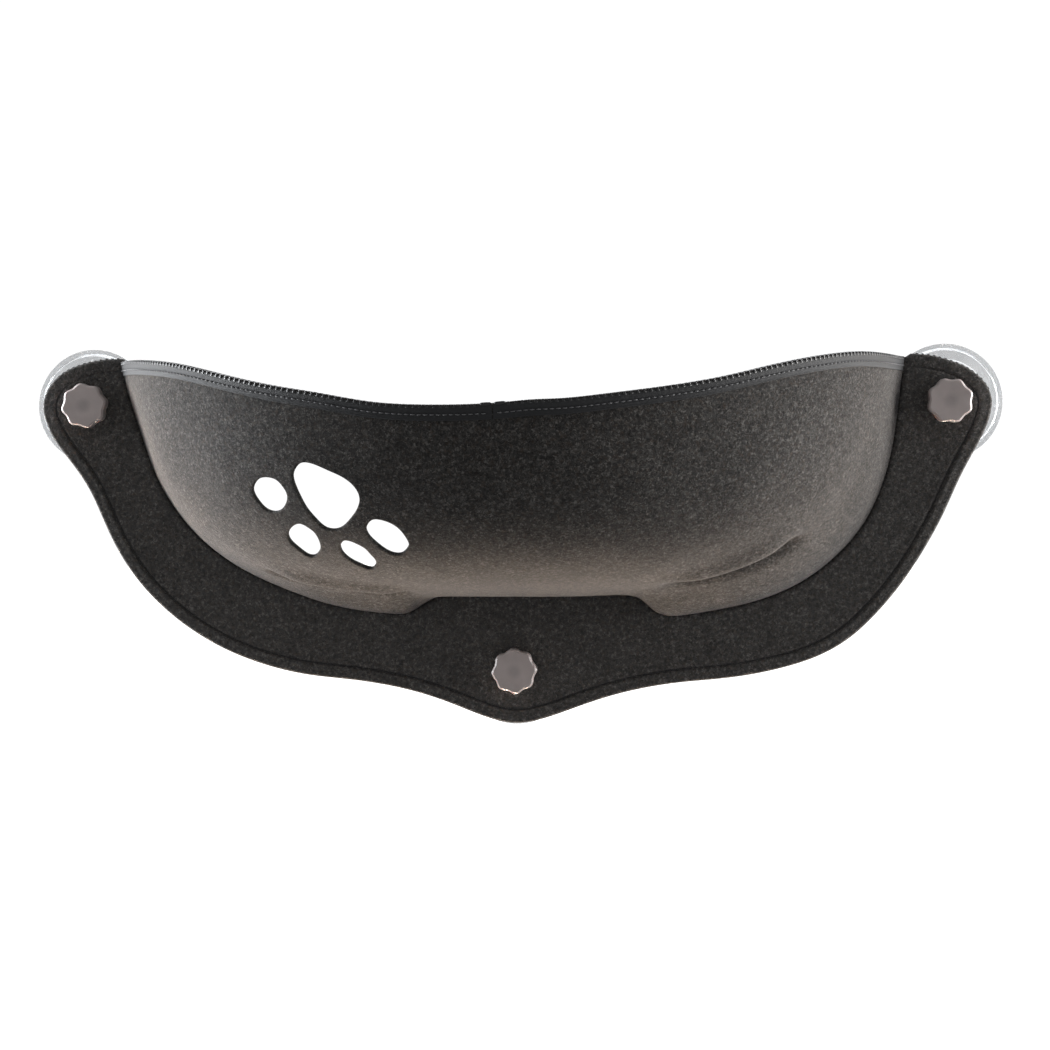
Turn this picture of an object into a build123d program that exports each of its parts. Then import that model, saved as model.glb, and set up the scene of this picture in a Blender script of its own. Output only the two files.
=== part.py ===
from build123d import *
import math
import os

os.makedirs("parts", exist_ok=True)

# Window mounted cat perch, millimetres.
# Frame: the origin lies on the window glass, halfway between the two upper
# suction cups.  +Z is up, +X is to the right as seen from the room, and the
# room side is -Y.  Plane.XZ looks into the room, so a sketch placed on
# Plane.XZ.offset(h) lies h in front of the glass and extrudes into the room.

# ---- layers of the mounting panel, distances in front of the glass ----
Y_NECK = 15.2            # end face of the cup's neck
Y_REAR = 16.0            # back of the rear felt
Y_CORE = 18.0            # rear felt to core layer
Y_FRONT = 21.0           # core layer to front felt
Y_FACE = 24.0            # front face of the front felt
T_FELT = 4.0             # felt of the basket
SKIN_TURN = 10.0         # width of the front felt's turned-down edge

# ---- suction cup positions and sizes ----
CUP_X = 305.0            # upper cups, left and right of the centre line
CUP_Z_LOW = -189.0       # lower cup, on the centre line
CUP_R = 41.0
LIP_W = 3.0              # flat sealing lip on the glass
NECK_R = 11.0
SITES = {
    "left": (-CUP_X, 0.0),
    "right": (CUP_X, 0.0),
    "bottom": (0.0, CUP_Z_LOW),
}

# ---- panel: outer outline of one half, from the ear's inner corner ----
OUTLINE = [
    (279.0, 33.0), (291.0, 31.9), (302.0, 29.4), (312.0, 25.9), (321.0, 21.2),
    (328.6, 14.6), (333.2, 7.4), (335.0, -0.8), (333.6, -9.6), (330.4, -18.4),
    (326.0, -27.0), (316.0, -43.6), (306.4, -60.6), (298.4, -77.6),
    (290.0, -94.7), (280.4, -111.7), (268.4, -128.6), (252.6, -145.7),
    (232.0, -162.2), (205.0, -176.6), (176.0, -186.6), (146.0, -192.6),
    (118.0, -195.6), (92.0, -199.4), (66.0, -205.6), (42.0, -213.9),
    (20.0, -222.2),
]
TIP_Z = -226.0

# ---- basket: level, half width, depth in front of the core layer ----
BOWL = [
    (42.0, 280.0, 238.0),
    (10.0, 274.0, 236.5),
    (-20.0, 266.5, 233.0),
    (-50.0, 256.5, 225.0),
    (-75.0, 243.5, 211.5),
    (-97.0, 226.5, 192.0),
    (-115.0, 204.0, 166.0),
    (-128.0, 178.0, 134.0),
    (-136.0, 150.0, 99.0),
    (-140.0, 120.0, 66.0),
]
BOWL_N = 2.15            # roundness of the plan curve, 2 is an ellipse
FLANGE_W = 12.0          # basket flange, sewn in behind the front felt
# height of the basket's rim over the half width, from the ear to the centre
RIM = [
    (300.0, 33.0), (279.0, 32.0), (262.0, 30.2), (241.0, 28.0), (213.0, 24.2),
    (179.0, 17.2), (139.0, 8.0), (95.0, 0.0), (48.0, -4.4),
]
RIM_MID_Z = -5.4

# ---- paw shaped cut-out, drawn on a plane that touches the basket ----
PAW_AT = (-105.1, -208.5, -77.9)
PAW_X_DIR = (0.9257, -0.3783, 0.0)
PAW_NORMAL = (-0.3067, -0.7507, -0.5851)
PAD = [
    (-17.6, 41.9), (-9.8, 42.3), (1.4, 39.6), (14.4, 34.4), (23.6, 25.8),
    (26.1, 17.1), (21.2, 7.1), (9.8, -2.4), (0.0, -7.6), (-7.6, -4.4),
    (-13.3, 7.6), (-17.0, 22.6), (-19.5, 34.6),
]
TOES = [  # centre, half length, half width, angle
    (-40.9, 17.6, 13.9, 12.6, 15.6),
    (-26.6, -16.8, 15.0, 12.0, 95.6),
    (7.1, -31.6, 17.4, 9.2, 106.2),
    (35.1, -14.3, 17.6, 10.3, 116.2),
]

# ---- zip, seams and small parts ----
TAPE_H = 9.0             # height of the zip tape on the rim
TAPE_T = 0.8
TEETH_H = 2.4            # the row of teeth above the tape's edge
TEETH_IN = 1.8
STITCH_T = 0.5           # sewing thread laid along a seam
STITCH_W = 0.9
TAPE_EDGE = 0.4          # tape's edge below the ear's top edge
TAPE_SEAM = 5.2          # seam of the tape, below its edge
EAR_TAPE_IN = 292.5      # tape and teeth on the ear start beyond the flange
EAR_TEETH_IN = 283.0
EAR_ZIP_END = 329.0
EAR_ZIP_LOW = 11.0
ZIP_GAP = 0.5            # half the gap between the two zips at the centre
EDGE_SEAM = 9.0          # edge seam, inside the outer outline
BASKET_SEAM = 5.5        # basket seam, outside the basket's outline
ZIP_STOP_W = 7.6         # moulded stop at the inner end of each zip
ZIP_STOP_D = 4.4
ZIP_STOP_H = 3.2
ZIP_STOP_Y = -252.6
STUD_R = 3.0             # M6 stud with a flat head moulded into the neck
STUD_HEAD_R = 8.0
STUD_HEAD_Y = 7.0
STUD_HEAD_T = 3.0
STUD_END = 34.5
THREAD_GAP = 0.05
EYELET_BORE_R = 3.3
EYELET_R = 4.0
EYELET_FLANGE_R = 7.5
EYELET_FLANGE_T = 0.8
WASHER_R = 9.0
WASHER_BORE_R = 3.2
WASHER_T = 1.2
KNOB_R = 15.2            # mean radius of the wavy edge
KNOB_WAVE = 0.75         # height of the waves
KNOB_LOBES = 8
KNOB_TURN = {"left": 100.0, "right": 20.0, "bottom": 5.0}
KNOB_BACK = Y_FACE + EYELET_FLANGE_T + WASHER_T
KNOB_H = 11.0
INSERT_R = 4.5
INSERT_L = 7.0
REACH = 320.0            # long enough to cut through the whole perch


def plan_curve(half_width, depth, lead):
    """Right half of the plan curve at one level, from the panel to the front.

    lead is a straight run behind the core layer, before the curve starts.
    """
    points = [(half_width, lead - Y_CORE)] if lead else []
    for i in range(13):
        t = math.pi / 2 * i / 12
        x = half_width * max(math.cos(t), 0.0) ** (2 / BOWL_N)
        y = -Y_CORE - depth * math.sin(t) ** (2 / BOWL_N)
        points.append((x if i < 12 else 0.0, y))
    return points


def shifted(points, grow):
    """Open chain of points moved sideways, outward for a chain run downward."""
    out = []
    for i, (a, b) in enumerate(points):
        p = points[max(i - 1, 0)]
        q = points[min(i + 1, len(points) - 1)]
        ta, tb = q[0] - p[0], q[1] - p[1]
        n = math.hypot(ta, tb)
        out.append((a - tb / n * grow, b + ta / n * grow))
    return out


def level(points, z):
    """First coordinate of a chain of (value, z) at a given z."""
    for (a, za), (b, zb) in zip(points, points[1:]):
        if zb <= z <= za:
            return a + (b - a) * (z - za) / (zb - za)
    return points[0][0] if z > points[0][1] else points[-1][0]


def grown_rows(grow):
    """Basket rows moved along the wall's normal, outward for a positive one."""
    if grow == 0:
        return BOWL
    width = shifted([(w, z) for z, w, d in BOWL], grow)
    depth = shifted([(d, z) for z, w, d in BOWL], grow)
    rows = []
    for w, z in width:
        rows.append((z, w, level(depth, z)))
    return rows


def rim_points(drop):
    """Rim height curve over the whole width, left to right, lowered by drop."""
    right = [(x, z - drop) for x, z in RIM]
    left = [(-x, z - drop) for x, z in RIM]
    return left + [(0.0, RIM_MID_Z - drop)] + right[::-1]


def wavy_edge(cx, cz, turn):
    """Points of a knob's edge, with a wave for each lobe."""
    points = []
    for i in range(KNOB_LOBES * 4):
        a = math.radians(turn + 360 * i / (KNOB_LOBES * 4))
        r = KNOB_R + KNOB_WAVE * math.cos(KNOB_LOBES * (a - math.radians(turn)))
        points.append((cx + r * math.cos(a), cz + r * math.sin(a)))
    return points


def basket_solid(rows, lead=0.0):
    """Closed solid of the basket's shape, one section on each level."""
    with BuildPart() as solid:
        for z, w, d in rows:
            with BuildSketch(Plane.XY.offset(z)):
                with BuildLine():
                    pts = plan_curve(w, d, lead)
                    Spline(*pts, tangents=[(0, -1), (-1, 0)])
                    Polyline(pts[-1], (0, lead - Y_CORE), pts[0])
                make_face()
        loft()
        mirror(about=Plane.YZ)
    return solid.part


def panel_outline(inset):
    """Flat face inside the panel's outer outline, smaller by inset."""
    right = shifted(OUTLINE, -inset)
    tip = (0.0, TIP_Z + inset * 1.06)
    left = [(-x, z) for x, z in reversed(right)]
    with BuildSketch() as face:
        with BuildLine():
            Spline(*right, tip, *left)
            Line(left[-1], right[0])
        make_face()
    return face.sketch


def opening_outline(grow):
    """Flat face of the basket's outline on the panel, grown, open at the top."""
    right = shifted([(w, z) for z, w, d in BOWL], grow)
    left = [(-x, z) for x, z in right[::-1]]
    top_r, top_l = (right[0][0], 80.0), (left[-1][0], 80.0)
    with BuildSketch() as face:
        with BuildLine():
            Spline(*right)
            Line(right[-1], left[0])
            Spline(*left)
            Polyline(left[-1], top_l, top_r, right[0])
        make_face()
    return face.sketch


def rim_band(top, bottom):
    """Flat face between two curves that follow the rim, lowered by each."""
    upper, lower = rim_points(top), rim_points(bottom)
    with BuildSketch() as face:
        with BuildLine():
            Spline(*upper)
            Line(upper[-1], lower[-1])
            Spline(*lower)
            Line(lower[0], upper[0])
        make_face()
    return face.sketch


def ear_window(inner):
    """Two windows over the tops of the ears, from the inner corner outward."""
    with BuildSketch() as face:
        with Locations(
            ((inner + EAR_ZIP_END) / 2, 20.0 + EAR_ZIP_LOW / 2),
            (-(inner + EAR_ZIP_END) / 2, 20.0 + EAR_ZIP_LOW / 2),
        ):
            Rectangle(EAR_ZIP_END - inner, 40.0 - EAR_ZIP_LOW)
    return face.sketch


# ================= basket =================
basket_outer = basket_solid(BOWL)
basket_inner = basket_solid(
    [(60.0, BOWL[0][1] - T_FELT + 2, BOWL[0][2] - T_FELT + 1)] + grown_rows(-T_FELT),
    lead=6.0,
)

with BuildPart() as basket_felt:
    # flange that is sewn in behind the front felt
    with BuildSketch(Plane.XZ.offset(Y_CORE)):
        add(opening_outline(FLANGE_W))
        add(opening_outline(-T_FELT + 0.6), mode=Mode.SUBTRACT)
        add(panel_outline(0.4), mode=Mode.INTERSECT)
    extrude(amount=Y_FRONT - Y_CORE)
    add(basket_outer)
    add(basket_inner, mode=Mode.SUBTRACT)
    # everything above the sagging rim comes off
    with BuildSketch(Plane.XZ):
        with BuildLine():
            pts = rim_points(0.0)
            Spline(*pts)
            Polyline(pts[-1], (300.0, 120.0), (-300.0, 120.0), pts[0])
        make_face()
    extrude(amount=REACH, mode=Mode.SUBTRACT)
    # paw shaped opening through the felt
    with BuildSketch(Plane(origin=PAW_AT, x_dir=PAW_X_DIR, z_dir=PAW_NORMAL)):
        with BuildLine():
            Spline(*PAD, periodic=True)
        make_face()
        for u, v, a, b, angle in TOES:
            with Locations(Location((u, v, 0), (0, 0, angle))):
                Ellipse(a, b)
    extrude(amount=24.0, both=True, mode=Mode.SUBTRACT)
basket_felt.part.label = "basket_felt"
export_step(basket_felt.part, "parts/basket_felt.step")

# ================= mounting panel =================
with BuildPart() as panel_front_felt:
    with BuildSketch(Plane.XZ.offset(Y_FRONT)):
        add(panel_outline(0.0))
        add(opening_outline(0.4), mode=Mode.SUBTRACT)
        with Locations(*SITES.values()):
            Circle(EYELET_R + 0.1, mode=Mode.SUBTRACT)
    extrude(amount=Y_FACE - Y_FRONT)
    add(basket_outer, mode=Mode.SUBTRACT)
    # turned-down edge that closes the panel round the stiffener
    with BuildSketch(Plane.XZ.offset(Y_CORE)):
        add(panel_outline(0.0))
        add(panel_outline(SKIN_TURN), mode=Mode.SUBTRACT)
        add(opening_outline(FLANGE_W + 0.3), mode=Mode.SUBTRACT)
    extrude(amount=Y_FRONT - Y_CORE)
    # room for the ear's length of zip tape behind the felt
    with BuildSketch(Plane.XZ.offset(Y_CORE)):
        add(panel_outline(TAPE_EDGE))
        add(panel_outline(TAPE_H), mode=Mode.SUBTRACT)
        add(ear_window(EAR_TAPE_IN), mode=Mode.INTERSECT)
    extrude(amount=TAPE_T, mode=Mode.SUBTRACT)
panel_front_felt.part.label = "panel_front_felt"
export_step(panel_front_felt.part, "parts/panel_front_felt.step")

with BuildPart() as panel_rear_felt:
    with BuildSketch(Plane.XZ.offset(Y_REAR)):
        add(panel_outline(0.0))
        add(opening_outline(-T_FELT + 0.6), mode=Mode.SUBTRACT)
        with Locations(*SITES.values()):
            Circle(EYELET_R + 0.1, mode=Mode.SUBTRACT)
    extrude(amount=Y_CORE - Y_REAR)
panel_rear_felt.part.label = "panel_rear_felt"
export_step(panel_rear_felt.part, "parts/panel_rear_felt.step")

with BuildPart() as panel_board:
    with BuildSketch(Plane.XZ.offset(Y_CORE)):
        add(panel_outline(SKIN_TURN + 0.5))
        add(opening_outline(FLANGE_W + 0.5), mode=Mode.SUBTRACT)
        with Locations(*SITES.values()):
            Circle(EYELET_R + 0.1, mode=Mode.SUBTRACT)
    extrude(amount=Y_FRONT - Y_CORE)
panel_board.part.label = "panel_board"
export_step(panel_board.part, "parts/panel_board.step")

with BuildPart() as panel_edge_stitch:
    with BuildSketch(Plane.XZ.offset(Y_FACE)):
        add(panel_outline(EDGE_SEAM - STITCH_W / 2))
        add(panel_outline(EDGE_SEAM + STITCH_W / 2), mode=Mode.SUBTRACT)
        add(opening_outline(4.0), mode=Mode.SUBTRACT)
    extrude(amount=STITCH_T)
panel_edge_stitch.part.label = "panel_edge_stitch"
export_step(panel_edge_stitch.part, "parts/panel_edge_stitch.step")

with BuildPart() as basket_seam_stitch:
    with BuildSketch(Plane.XZ.offset(Y_FACE)):
        add(opening_outline(BASKET_SEAM + STITCH_W / 2))
        add(opening_outline(BASKET_SEAM - STITCH_W / 2), mode=Mode.SUBTRACT)
        add(panel_outline(EDGE_SEAM + STITCH_W), mode=Mode.INTERSECT)
    extrude(amount=STITCH_T)
basket_seam_stitch.part.label = "basket_seam_stitch"
export_step(basket_seam_stitch.part, "parts/basket_seam_stitch.step")

# ================= zip on the rim and the ears =================
tape_face = basket_solid(grown_rows(TAPE_T))
thread_face = basket_solid(grown_rows(TAPE_T + STITCH_T))
teeth_back = basket_solid(grown_rows(-TEETH_IN), lead=8.0)

with BuildPart() as zip_tape_right:
    with BuildSketch(Plane.XZ.offset(Y_FACE + 0.3)):
        add(rim_band(0.0, TAPE_H))
        with Locations((150.0 + ZIP_GAP, 0)):
            Rectangle(300.0, 200.0, mode=Mode.INTERSECT)
    extrude(amount=REACH)
    add(tape_face, mode=Mode.INTERSECT)
    add(basket_outer, mode=Mode.SUBTRACT)
    # length of tape along the ear, behind the front felt
    with BuildSketch(Plane.XZ.offset(Y_CORE)):
        add(panel_outline(TAPE_EDGE))
        add(panel_outline(TAPE_H), mode=Mode.SUBTRACT)
        add(ear_window(EAR_TAPE_IN), mode=Mode.INTERSECT)
        with Locations((300.0, 0)):
            Rectangle(300.0, 200.0, mode=Mode.INTERSECT)
    extrude(amount=TAPE_T)

with BuildPart() as zip_stitch_right:
    with BuildSketch(Plane.XZ.offset(Y_FACE + 0.3)):
        add(rim_band(TAPE_SEAM, TAPE_SEAM + STITCH_W))
        with Locations((150.0 + ZIP_GAP + 0.7, 0)):
            Rectangle(300.0, 200.0, mode=Mode.INTERSECT)
    extrude(amount=REACH)
    add(thread_face, mode=Mode.INTERSECT)
    add(tape_face, mode=Mode.SUBTRACT)

with BuildPart() as zip_teeth_right:
    with BuildSketch(Plane.XZ.offset(Y_FACE + 0.3)):
        add(rim_band(-TEETH_H, 0.0))
        with Locations((150.0 + ZIP_GAP + ZIP_STOP_W + 0.3, 0)):
            Rectangle(300.0, 200.0, mode=Mode.INTERSECT)
    extrude(amount=REACH)
    add(tape_face, mode=Mode.INTERSECT)
    add(teeth_back, mode=Mode.SUBTRACT)
    # teeth along the ear's top edge
    with BuildSketch(Plane.XZ.offset(Y_CORE)):
        add(panel_outline(-TEETH_H))
        add(panel_outline(0.0), mode=Mode.SUBTRACT)
        add(ear_window(EAR_TEETH_IN), mode=Mode.INTERSECT)
        with Locations((300.0, 0)):
            Rectangle(300.0, 200.0, mode=Mode.INTERSECT)
    extrude(amount=TEETH_IN + TAPE_T)

# moulded stop at the inner end of the teeth, on the rim's front centre
with BuildPart() as zip_stop_right:
    with BuildSketch(Plane.XY.offset(RIM_MID_Z + 0.1)):
        with Locations((ZIP_GAP + 0.15 + ZIP_STOP_W / 2, ZIP_STOP_Y)):
            Rectangle(ZIP_STOP_W, ZIP_STOP_D)
    extrude(amount=ZIP_STOP_H)
    fillet(zip_stop_right.edges().filter_by(Axis.Z), 0.8)
    fillet(zip_stop_right.faces().sort_by(Axis.Z)[-1].edges(), 0.5)

# the left half of the zip is the mirror image of the right half
for name, half in (
    ("zip_tape", zip_tape_right),
    ("zip_stitch", zip_stitch_right),
    ("zip_teeth", zip_teeth_right),
    ("zip_stop", zip_stop_right),
):
    half.part.label = f"{name}_right"
    export_step(half.part, f"parts/{name}_right.step")
    with BuildPart() as other_half:
        mirror(half.part, about=Plane.YZ)
    other_half.part.label = f"{name}_left"
    export_step(other_half.part, f"parts/{name}_left.step")

# ================= suction mounts, one set at each site =================
for side, (cx, cz) in SITES.items():
    centre = Plane(origin=(cx, 0, cz), x_dir=(1, 0, 0), z_dir=(0, 0, 1))
    axis = Axis((cx, 0, cz), (0, 1, 0))

    # stud: flat head inside the neck, threaded shank through the panel
    with BuildPart() as cup_stud:
        with BuildSketch(centre):
            with BuildLine():
                head_end = STUD_HEAD_Y + STUD_HEAD_T
                Polyline(
                    (0, -STUD_HEAD_Y),
                    (STUD_HEAD_R, -STUD_HEAD_Y),
                    (STUD_HEAD_R, -head_end),
                    (STUD_R, -head_end),
                    (STUD_R, -STUD_END + 0.8),
                    (STUD_R - 0.8, -STUD_END),
                    (0, -STUD_END),
                    close=True,
                )
            make_face()
        revolve(axis=axis)
    cup_stud.part.label = f"cup_stud_{side}"
    export_step(cup_stud.part, f"parts/cup_stud_{side}.step")

    # cup: sealing lip, stepped skirt, domed body and neck
    with BuildPart() as suction_cup:
        with BuildSketch(centre):
            with BuildLine():
                Polyline(
                    (0, -STUD_HEAD_Y + 3.2),
                    (12.0, -STUD_HEAD_Y + 3.4),
                    (26.0, -2.6),
                    (CUP_R - LIP_W - 1.0, -0.9),
                    (CUP_R - LIP_W, 0),
                    (CUP_R, 0),
                    (CUP_R, -1.1),
                    (CUP_R - 4.0, -1.9),
                    (CUP_R - 4.6, -3.2),
                    (CUP_R - 11.0, -4.6),
                    (CUP_R - 12.0, -6.2),
                    (20.0, -8.6),
                    (14.0, -10.4),
                )
                Spline((14.0, -10.4), (NECK_R + 0.7, -11.6), (NECK_R, -13.0))
                Polyline(
                    (NECK_R, -13.0),
                    (NECK_R, -Y_NECK + 0.6),
                    (NECK_R - 0.6, -Y_NECK),
                    (0, -Y_NECK),
                    (0, -STUD_HEAD_Y + 3.2),
                )
            make_face()
        revolve(axis=axis)
        add(cup_stud.part, mode=Mode.SUBTRACT)
    suction_cup.part.label = f"suction_cup_{side}"
    export_step(suction_cup.part, f"parts/suction_cup_{side}.step")

    # eyelet set through the panel
    with BuildPart() as eyelet:
        with BuildSketch(Plane.XZ.offset(Y_NECK)):
            with Locations((cx, cz)):
                Circle(EYELET_FLANGE_R)
        extrude(amount=EYELET_FLANGE_T)
        with BuildSketch(Plane.XZ.offset(Y_NECK)):
            with Locations((cx, cz)):
                Circle(EYELET_R)
        extrude(amount=Y_FACE + EYELET_FLANGE_T - Y_NECK)
        with BuildSketch(Plane.XZ.offset(Y_FACE)):
            with Locations((cx, cz)):
                Circle(EYELET_FLANGE_R)
        extrude(amount=EYELET_FLANGE_T)
        with BuildSketch(Plane.XZ):
            with Locations((cx, cz)):
                Circle(EYELET_BORE_R)
        extrude(amount=REACH, mode=Mode.SUBTRACT)
    eyelet.part.label = f"eyelet_{side}"
    export_step(eyelet.part, f"parts/eyelet_{side}.step")

    # washer under the knob
    with BuildPart() as washer:
        with BuildSketch(Plane.XZ.offset(Y_FACE + EYELET_FLANGE_T)):
            with Locations((cx, cz)):
                Circle(WASHER_R)
                Circle(WASHER_BORE_R, mode=Mode.SUBTRACT)
        extrude(amount=WASHER_T)
        fillet(washer.edges().filter_by(GeomType.CIRCLE), 0.25)
    washer.part.label = f"washer_{side}"
    export_step(washer.part, f"parts/washer_{side}.step")

    # threaded insert moulded into the knob
    with BuildPart() as knob_insert:
        with BuildSketch(Plane.XZ.offset(KNOB_BACK)):
            with Locations((cx, cz)):
                Circle(INSERT_R)
                Circle(STUD_R + THREAD_GAP, mode=Mode.SUBTRACT)
        extrude(amount=INSERT_L)
    knob_insert.part.label = f"knob_insert_{side}"
    export_step(knob_insert.part, f"parts/knob_insert_{side}.step")

    # scalloped knob with a blind bore
    with BuildPart() as knob:
        with BuildSketch(Plane.XZ.offset(KNOB_BACK)):
            with BuildLine():
                Spline(*wavy_edge(cx, cz, KNOB_TURN[side]), periodic=True)
            make_face()
        extrude(amount=KNOB_H)
        chamfer(knob.faces().sort_by(Axis.Y)[0].edges(), 1.2)
        chamfer(knob.faces().sort_by(Axis.Y)[-1].edges(), 0.6)
        with BuildSketch(Plane.XZ.offset(KNOB_BACK)):
            with Locations((cx, cz)):
                Circle(INSERT_R)
        extrude(amount=INSERT_L, mode=Mode.SUBTRACT)
        with BuildSketch(Plane.XZ.offset(KNOB_BACK + INSERT_L)):
            with Locations((cx, cz)):
                Circle(STUD_R + 0.5)
        extrude(amount=2.2, mode=Mode.SUBTRACT)
    knob.part.label = f"knob_{side}"
    export_step(knob.part, f"parts/knob_{side}.step")
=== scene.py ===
import math

import bpy
import numpy as np
from mathutils import Matrix, Vector, noise
from mathutils.bvhtree import BVHTree
from mathutils.geometry import delaunay_2d_cdt


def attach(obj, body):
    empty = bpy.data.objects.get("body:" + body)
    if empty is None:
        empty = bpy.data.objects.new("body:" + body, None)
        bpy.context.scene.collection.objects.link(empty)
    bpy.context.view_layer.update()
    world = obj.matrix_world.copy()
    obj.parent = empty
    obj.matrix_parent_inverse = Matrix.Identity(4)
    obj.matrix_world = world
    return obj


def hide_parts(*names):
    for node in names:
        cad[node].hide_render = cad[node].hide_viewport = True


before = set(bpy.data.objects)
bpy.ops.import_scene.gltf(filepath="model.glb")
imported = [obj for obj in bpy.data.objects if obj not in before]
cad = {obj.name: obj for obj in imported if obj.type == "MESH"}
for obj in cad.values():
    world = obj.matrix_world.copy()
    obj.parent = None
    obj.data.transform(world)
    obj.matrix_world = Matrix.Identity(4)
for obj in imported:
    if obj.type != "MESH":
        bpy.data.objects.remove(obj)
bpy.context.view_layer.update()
scene = bpy.context.scene
scene.view_settings.view_transform = "Standard"
scene.view_settings.look = "None"
MM = 0.001

# ---------------------------------------------------------------- camera
EYE = Vector((0.0928, -1.6628, -0.0384))     # 1.66 m away, right of the centre
YAW, PITCH, ROLL = (math.radians(a) for a in (-2.978, -1.664, -0.276))
cam_data = bpy.data.cameras.new("camera")
cam = bpy.data.objects.new("camera", cam_data)
scene.collection.objects.link(cam)
cam.location = EYE
look = Vector((math.sin(YAW) * math.cos(PITCH), math.cos(YAW) * math.cos(PITCH), math.sin(PITCH)))
across = look.cross(Vector((0, 0, 1))).normalized()
upward = across.cross(look)
across, upward = (
    across * math.cos(ROLL) + upward * math.sin(ROLL),
    upward * math.cos(ROLL) - across * math.sin(ROLL),
)
cam.rotation_mode = "QUATERNION"
cam.rotation_quaternion = Matrix((across, upward, -look)).transposed().to_quaternion()
cam_data.sensor_width = 36.0
cam_data.sensor_fit = "HORIZONTAL"
cam_data.lens = 79.47
cam_data.clip_start, cam_data.clip_end = 0.02, 60.0
scene.camera = cam

# ---------------------------------------------------------------- layers, mm
Y_REAR, Y_CORE, Y_FRONT, Y_FACE = 16.0, 18.0, 21.0, 24.0
T_FELT = 4.0
FLANGE_W = 12.0
SITES = {"left": (-305.0, 0.0), "right": (305.0, 0.0), "bottom": (0.0, -189.0)}
OUTLINE = [
    (279.0, 33.0), (291.0, 31.9), (302.0, 29.4), (312.0, 25.9), (321.0, 21.2),
    (328.6, 14.6), (333.2, 7.4), (335.0, -0.8), (333.6, -9.6), (330.4, -18.4),
    (326.0, -27.0), (316.0, -43.6), (306.4, -60.6), (298.4, -77.6),
    (290.0, -94.7), (280.4, -111.7), (268.4, -128.6), (252.6, -145.7),
    (232.0, -162.2), (205.0, -176.6), (176.0, -186.6), (146.0, -192.6),
    (118.0, -195.6), (92.0, -199.4), (66.0, -205.6), (42.0, -213.9),
    (20.0, -222.2),
]
TIP_Z = -226.0
# basket: level, half width at the panel, depth in front of the panel's face
BOWL = [
    (42.0, 280.0, 233.0), (10.0, 274.0, 231.5), (-20.0, 266.5, 228.0),
    (-50.0, 256.5, 220.0), (-73.4, 243.5, 206.5), (-93.1, 226.5, 187.0),
    (-109.2, 204.0, 161.0), (-120.8, 178.0, 129.0), (-127.9, 150.0, 94.0),
    (-133.0, 120.0, 61.0), (-134.5, 95.0, 38.0), (-134.9, 78.0, 18.0),
    (-135.0, 66.0, 0.0),
]
BOWL_N = 2.15
LEAN, LEAN_DEPTH = 0.044, 35.0                # the wall leans in before it runs out
BASE_Y = -23.0
# height of the felt's upper edge over x, from the left ear to the right ear
RIM = [
    (-300.0, 31.5), (-279.0, 30.5), (-257.0, 28.3), (-214.0, 23.0),
    (-176.0, 14.3), (-141.0, 6.6), (-109.0, 1.2), (-77.0, -4.4),
    (-46.0, -6.6), (-15.0, -6.6), (5.0, -5.6), (23.0, -4.0), (42.0, -3.2),
    (66.0, -0.8), (107.0, 4.4), (149.0, 12.0), (170.0, 17.2), (192.0, 22.2),
    (215.0, 26.4), (240.0, 29.0), (260.0, 29.0), (279.0, 29.8), (300.0, 31.0),
]
# how far the soft lower corners hang out beyond the smooth basket beside the
# panel: distance along the basket's outline from the bottom centre, bulge
BULGE = [
    (-420.0, 2.0), (-350.0, 1.8), (-320.0, 0.0), (-290.0, -0.6), (-262.0, -0.8),
    (-235.0, -0.3), (-205.0, 1.5), (-176.0, 3.8), (-141.0, 8.7), (-106.0, 12.2),
    (-84.0, 13.6), (-74.0, 12.4), (-66.0, 7.6), (-58.0, 2.6), (-48.0, 0.4),
    (-30.0, 0.0), (0.0, 0.0), (60.0, 0.0), (82.0, 0.6), (90.0, 4.0),
    (97.0, 11.0), (105.0, 15.4), (121.0, 16.6), (156.0, 16.6), (181.0, 15.8),
    (207.0, 14.0), (232.0, 11.3), (258.0, 8.8), (282.0, 5.7), (315.0, 2.2),
    (343.0, -1.4), (385.0, -4.0), (420.0, -4.5),
]


def cubic(u, v, q):
    """Natural cubic curve through v at u, read at q."""
    u, v, q = np.asarray(u, float), np.asarray(v, float), np.asarray(q, float)
    flat = v.ndim == 1
    v = v.reshape(len(u), -1)
    n, h = len(u), np.diff(u)
    a, r = np.zeros((n, n)), np.zeros((n, v.shape[1]))
    a[0, 0] = a[-1, -1] = 1.0
    for i in range(1, n - 1):
        a[i, i - 1], a[i, i], a[i, i + 1] = h[i - 1], 2 * (h[i - 1] + h[i]), h[i]
        r[i] = 6 * ((v[i + 1] - v[i]) / h[i] - (v[i] - v[i - 1]) / h[i - 1])
    m = np.linalg.solve(a, r)
    shape = q.shape
    q = q.ravel()
    j = np.clip(np.searchsorted(u, q) - 1, 0, n - 2)
    s, t = (u[j + 1] - q) / h[j], (q - u[j]) / h[j]
    out = (
        s[:, None] * v[j] + t[:, None] * v[j + 1]
        + ((s**3 - s)[:, None] * m[j] + (t**3 - t)[:, None] * m[j + 1])
        * (h[j] ** 2)[:, None] / 6
    )
    return out.reshape(shape) if flat else out.reshape(*shape, -1)


def chords(points):
    p = np.asarray(points, float)
    return np.concatenate([[0], np.cumsum(np.linalg.norm(np.diff(p, axis=0), axis=1))])


def smooth(x, lo, hi):
    s = np.clip((x - lo) / (hi - lo), 0, 1)
    return s * s * (3 - 2 * s)


def even(points, step):
    """Points of a polyline at equal distances."""
    p = np.asarray(points, float)
    c = chords(p)
    n = max(2, int(round(c[-1] / step)) + 1)
    s = np.linspace(0, c[-1], n)
    return np.stack([np.interp(s, c, p[:, k]) for k in range(p.shape[1])], 1)


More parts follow.
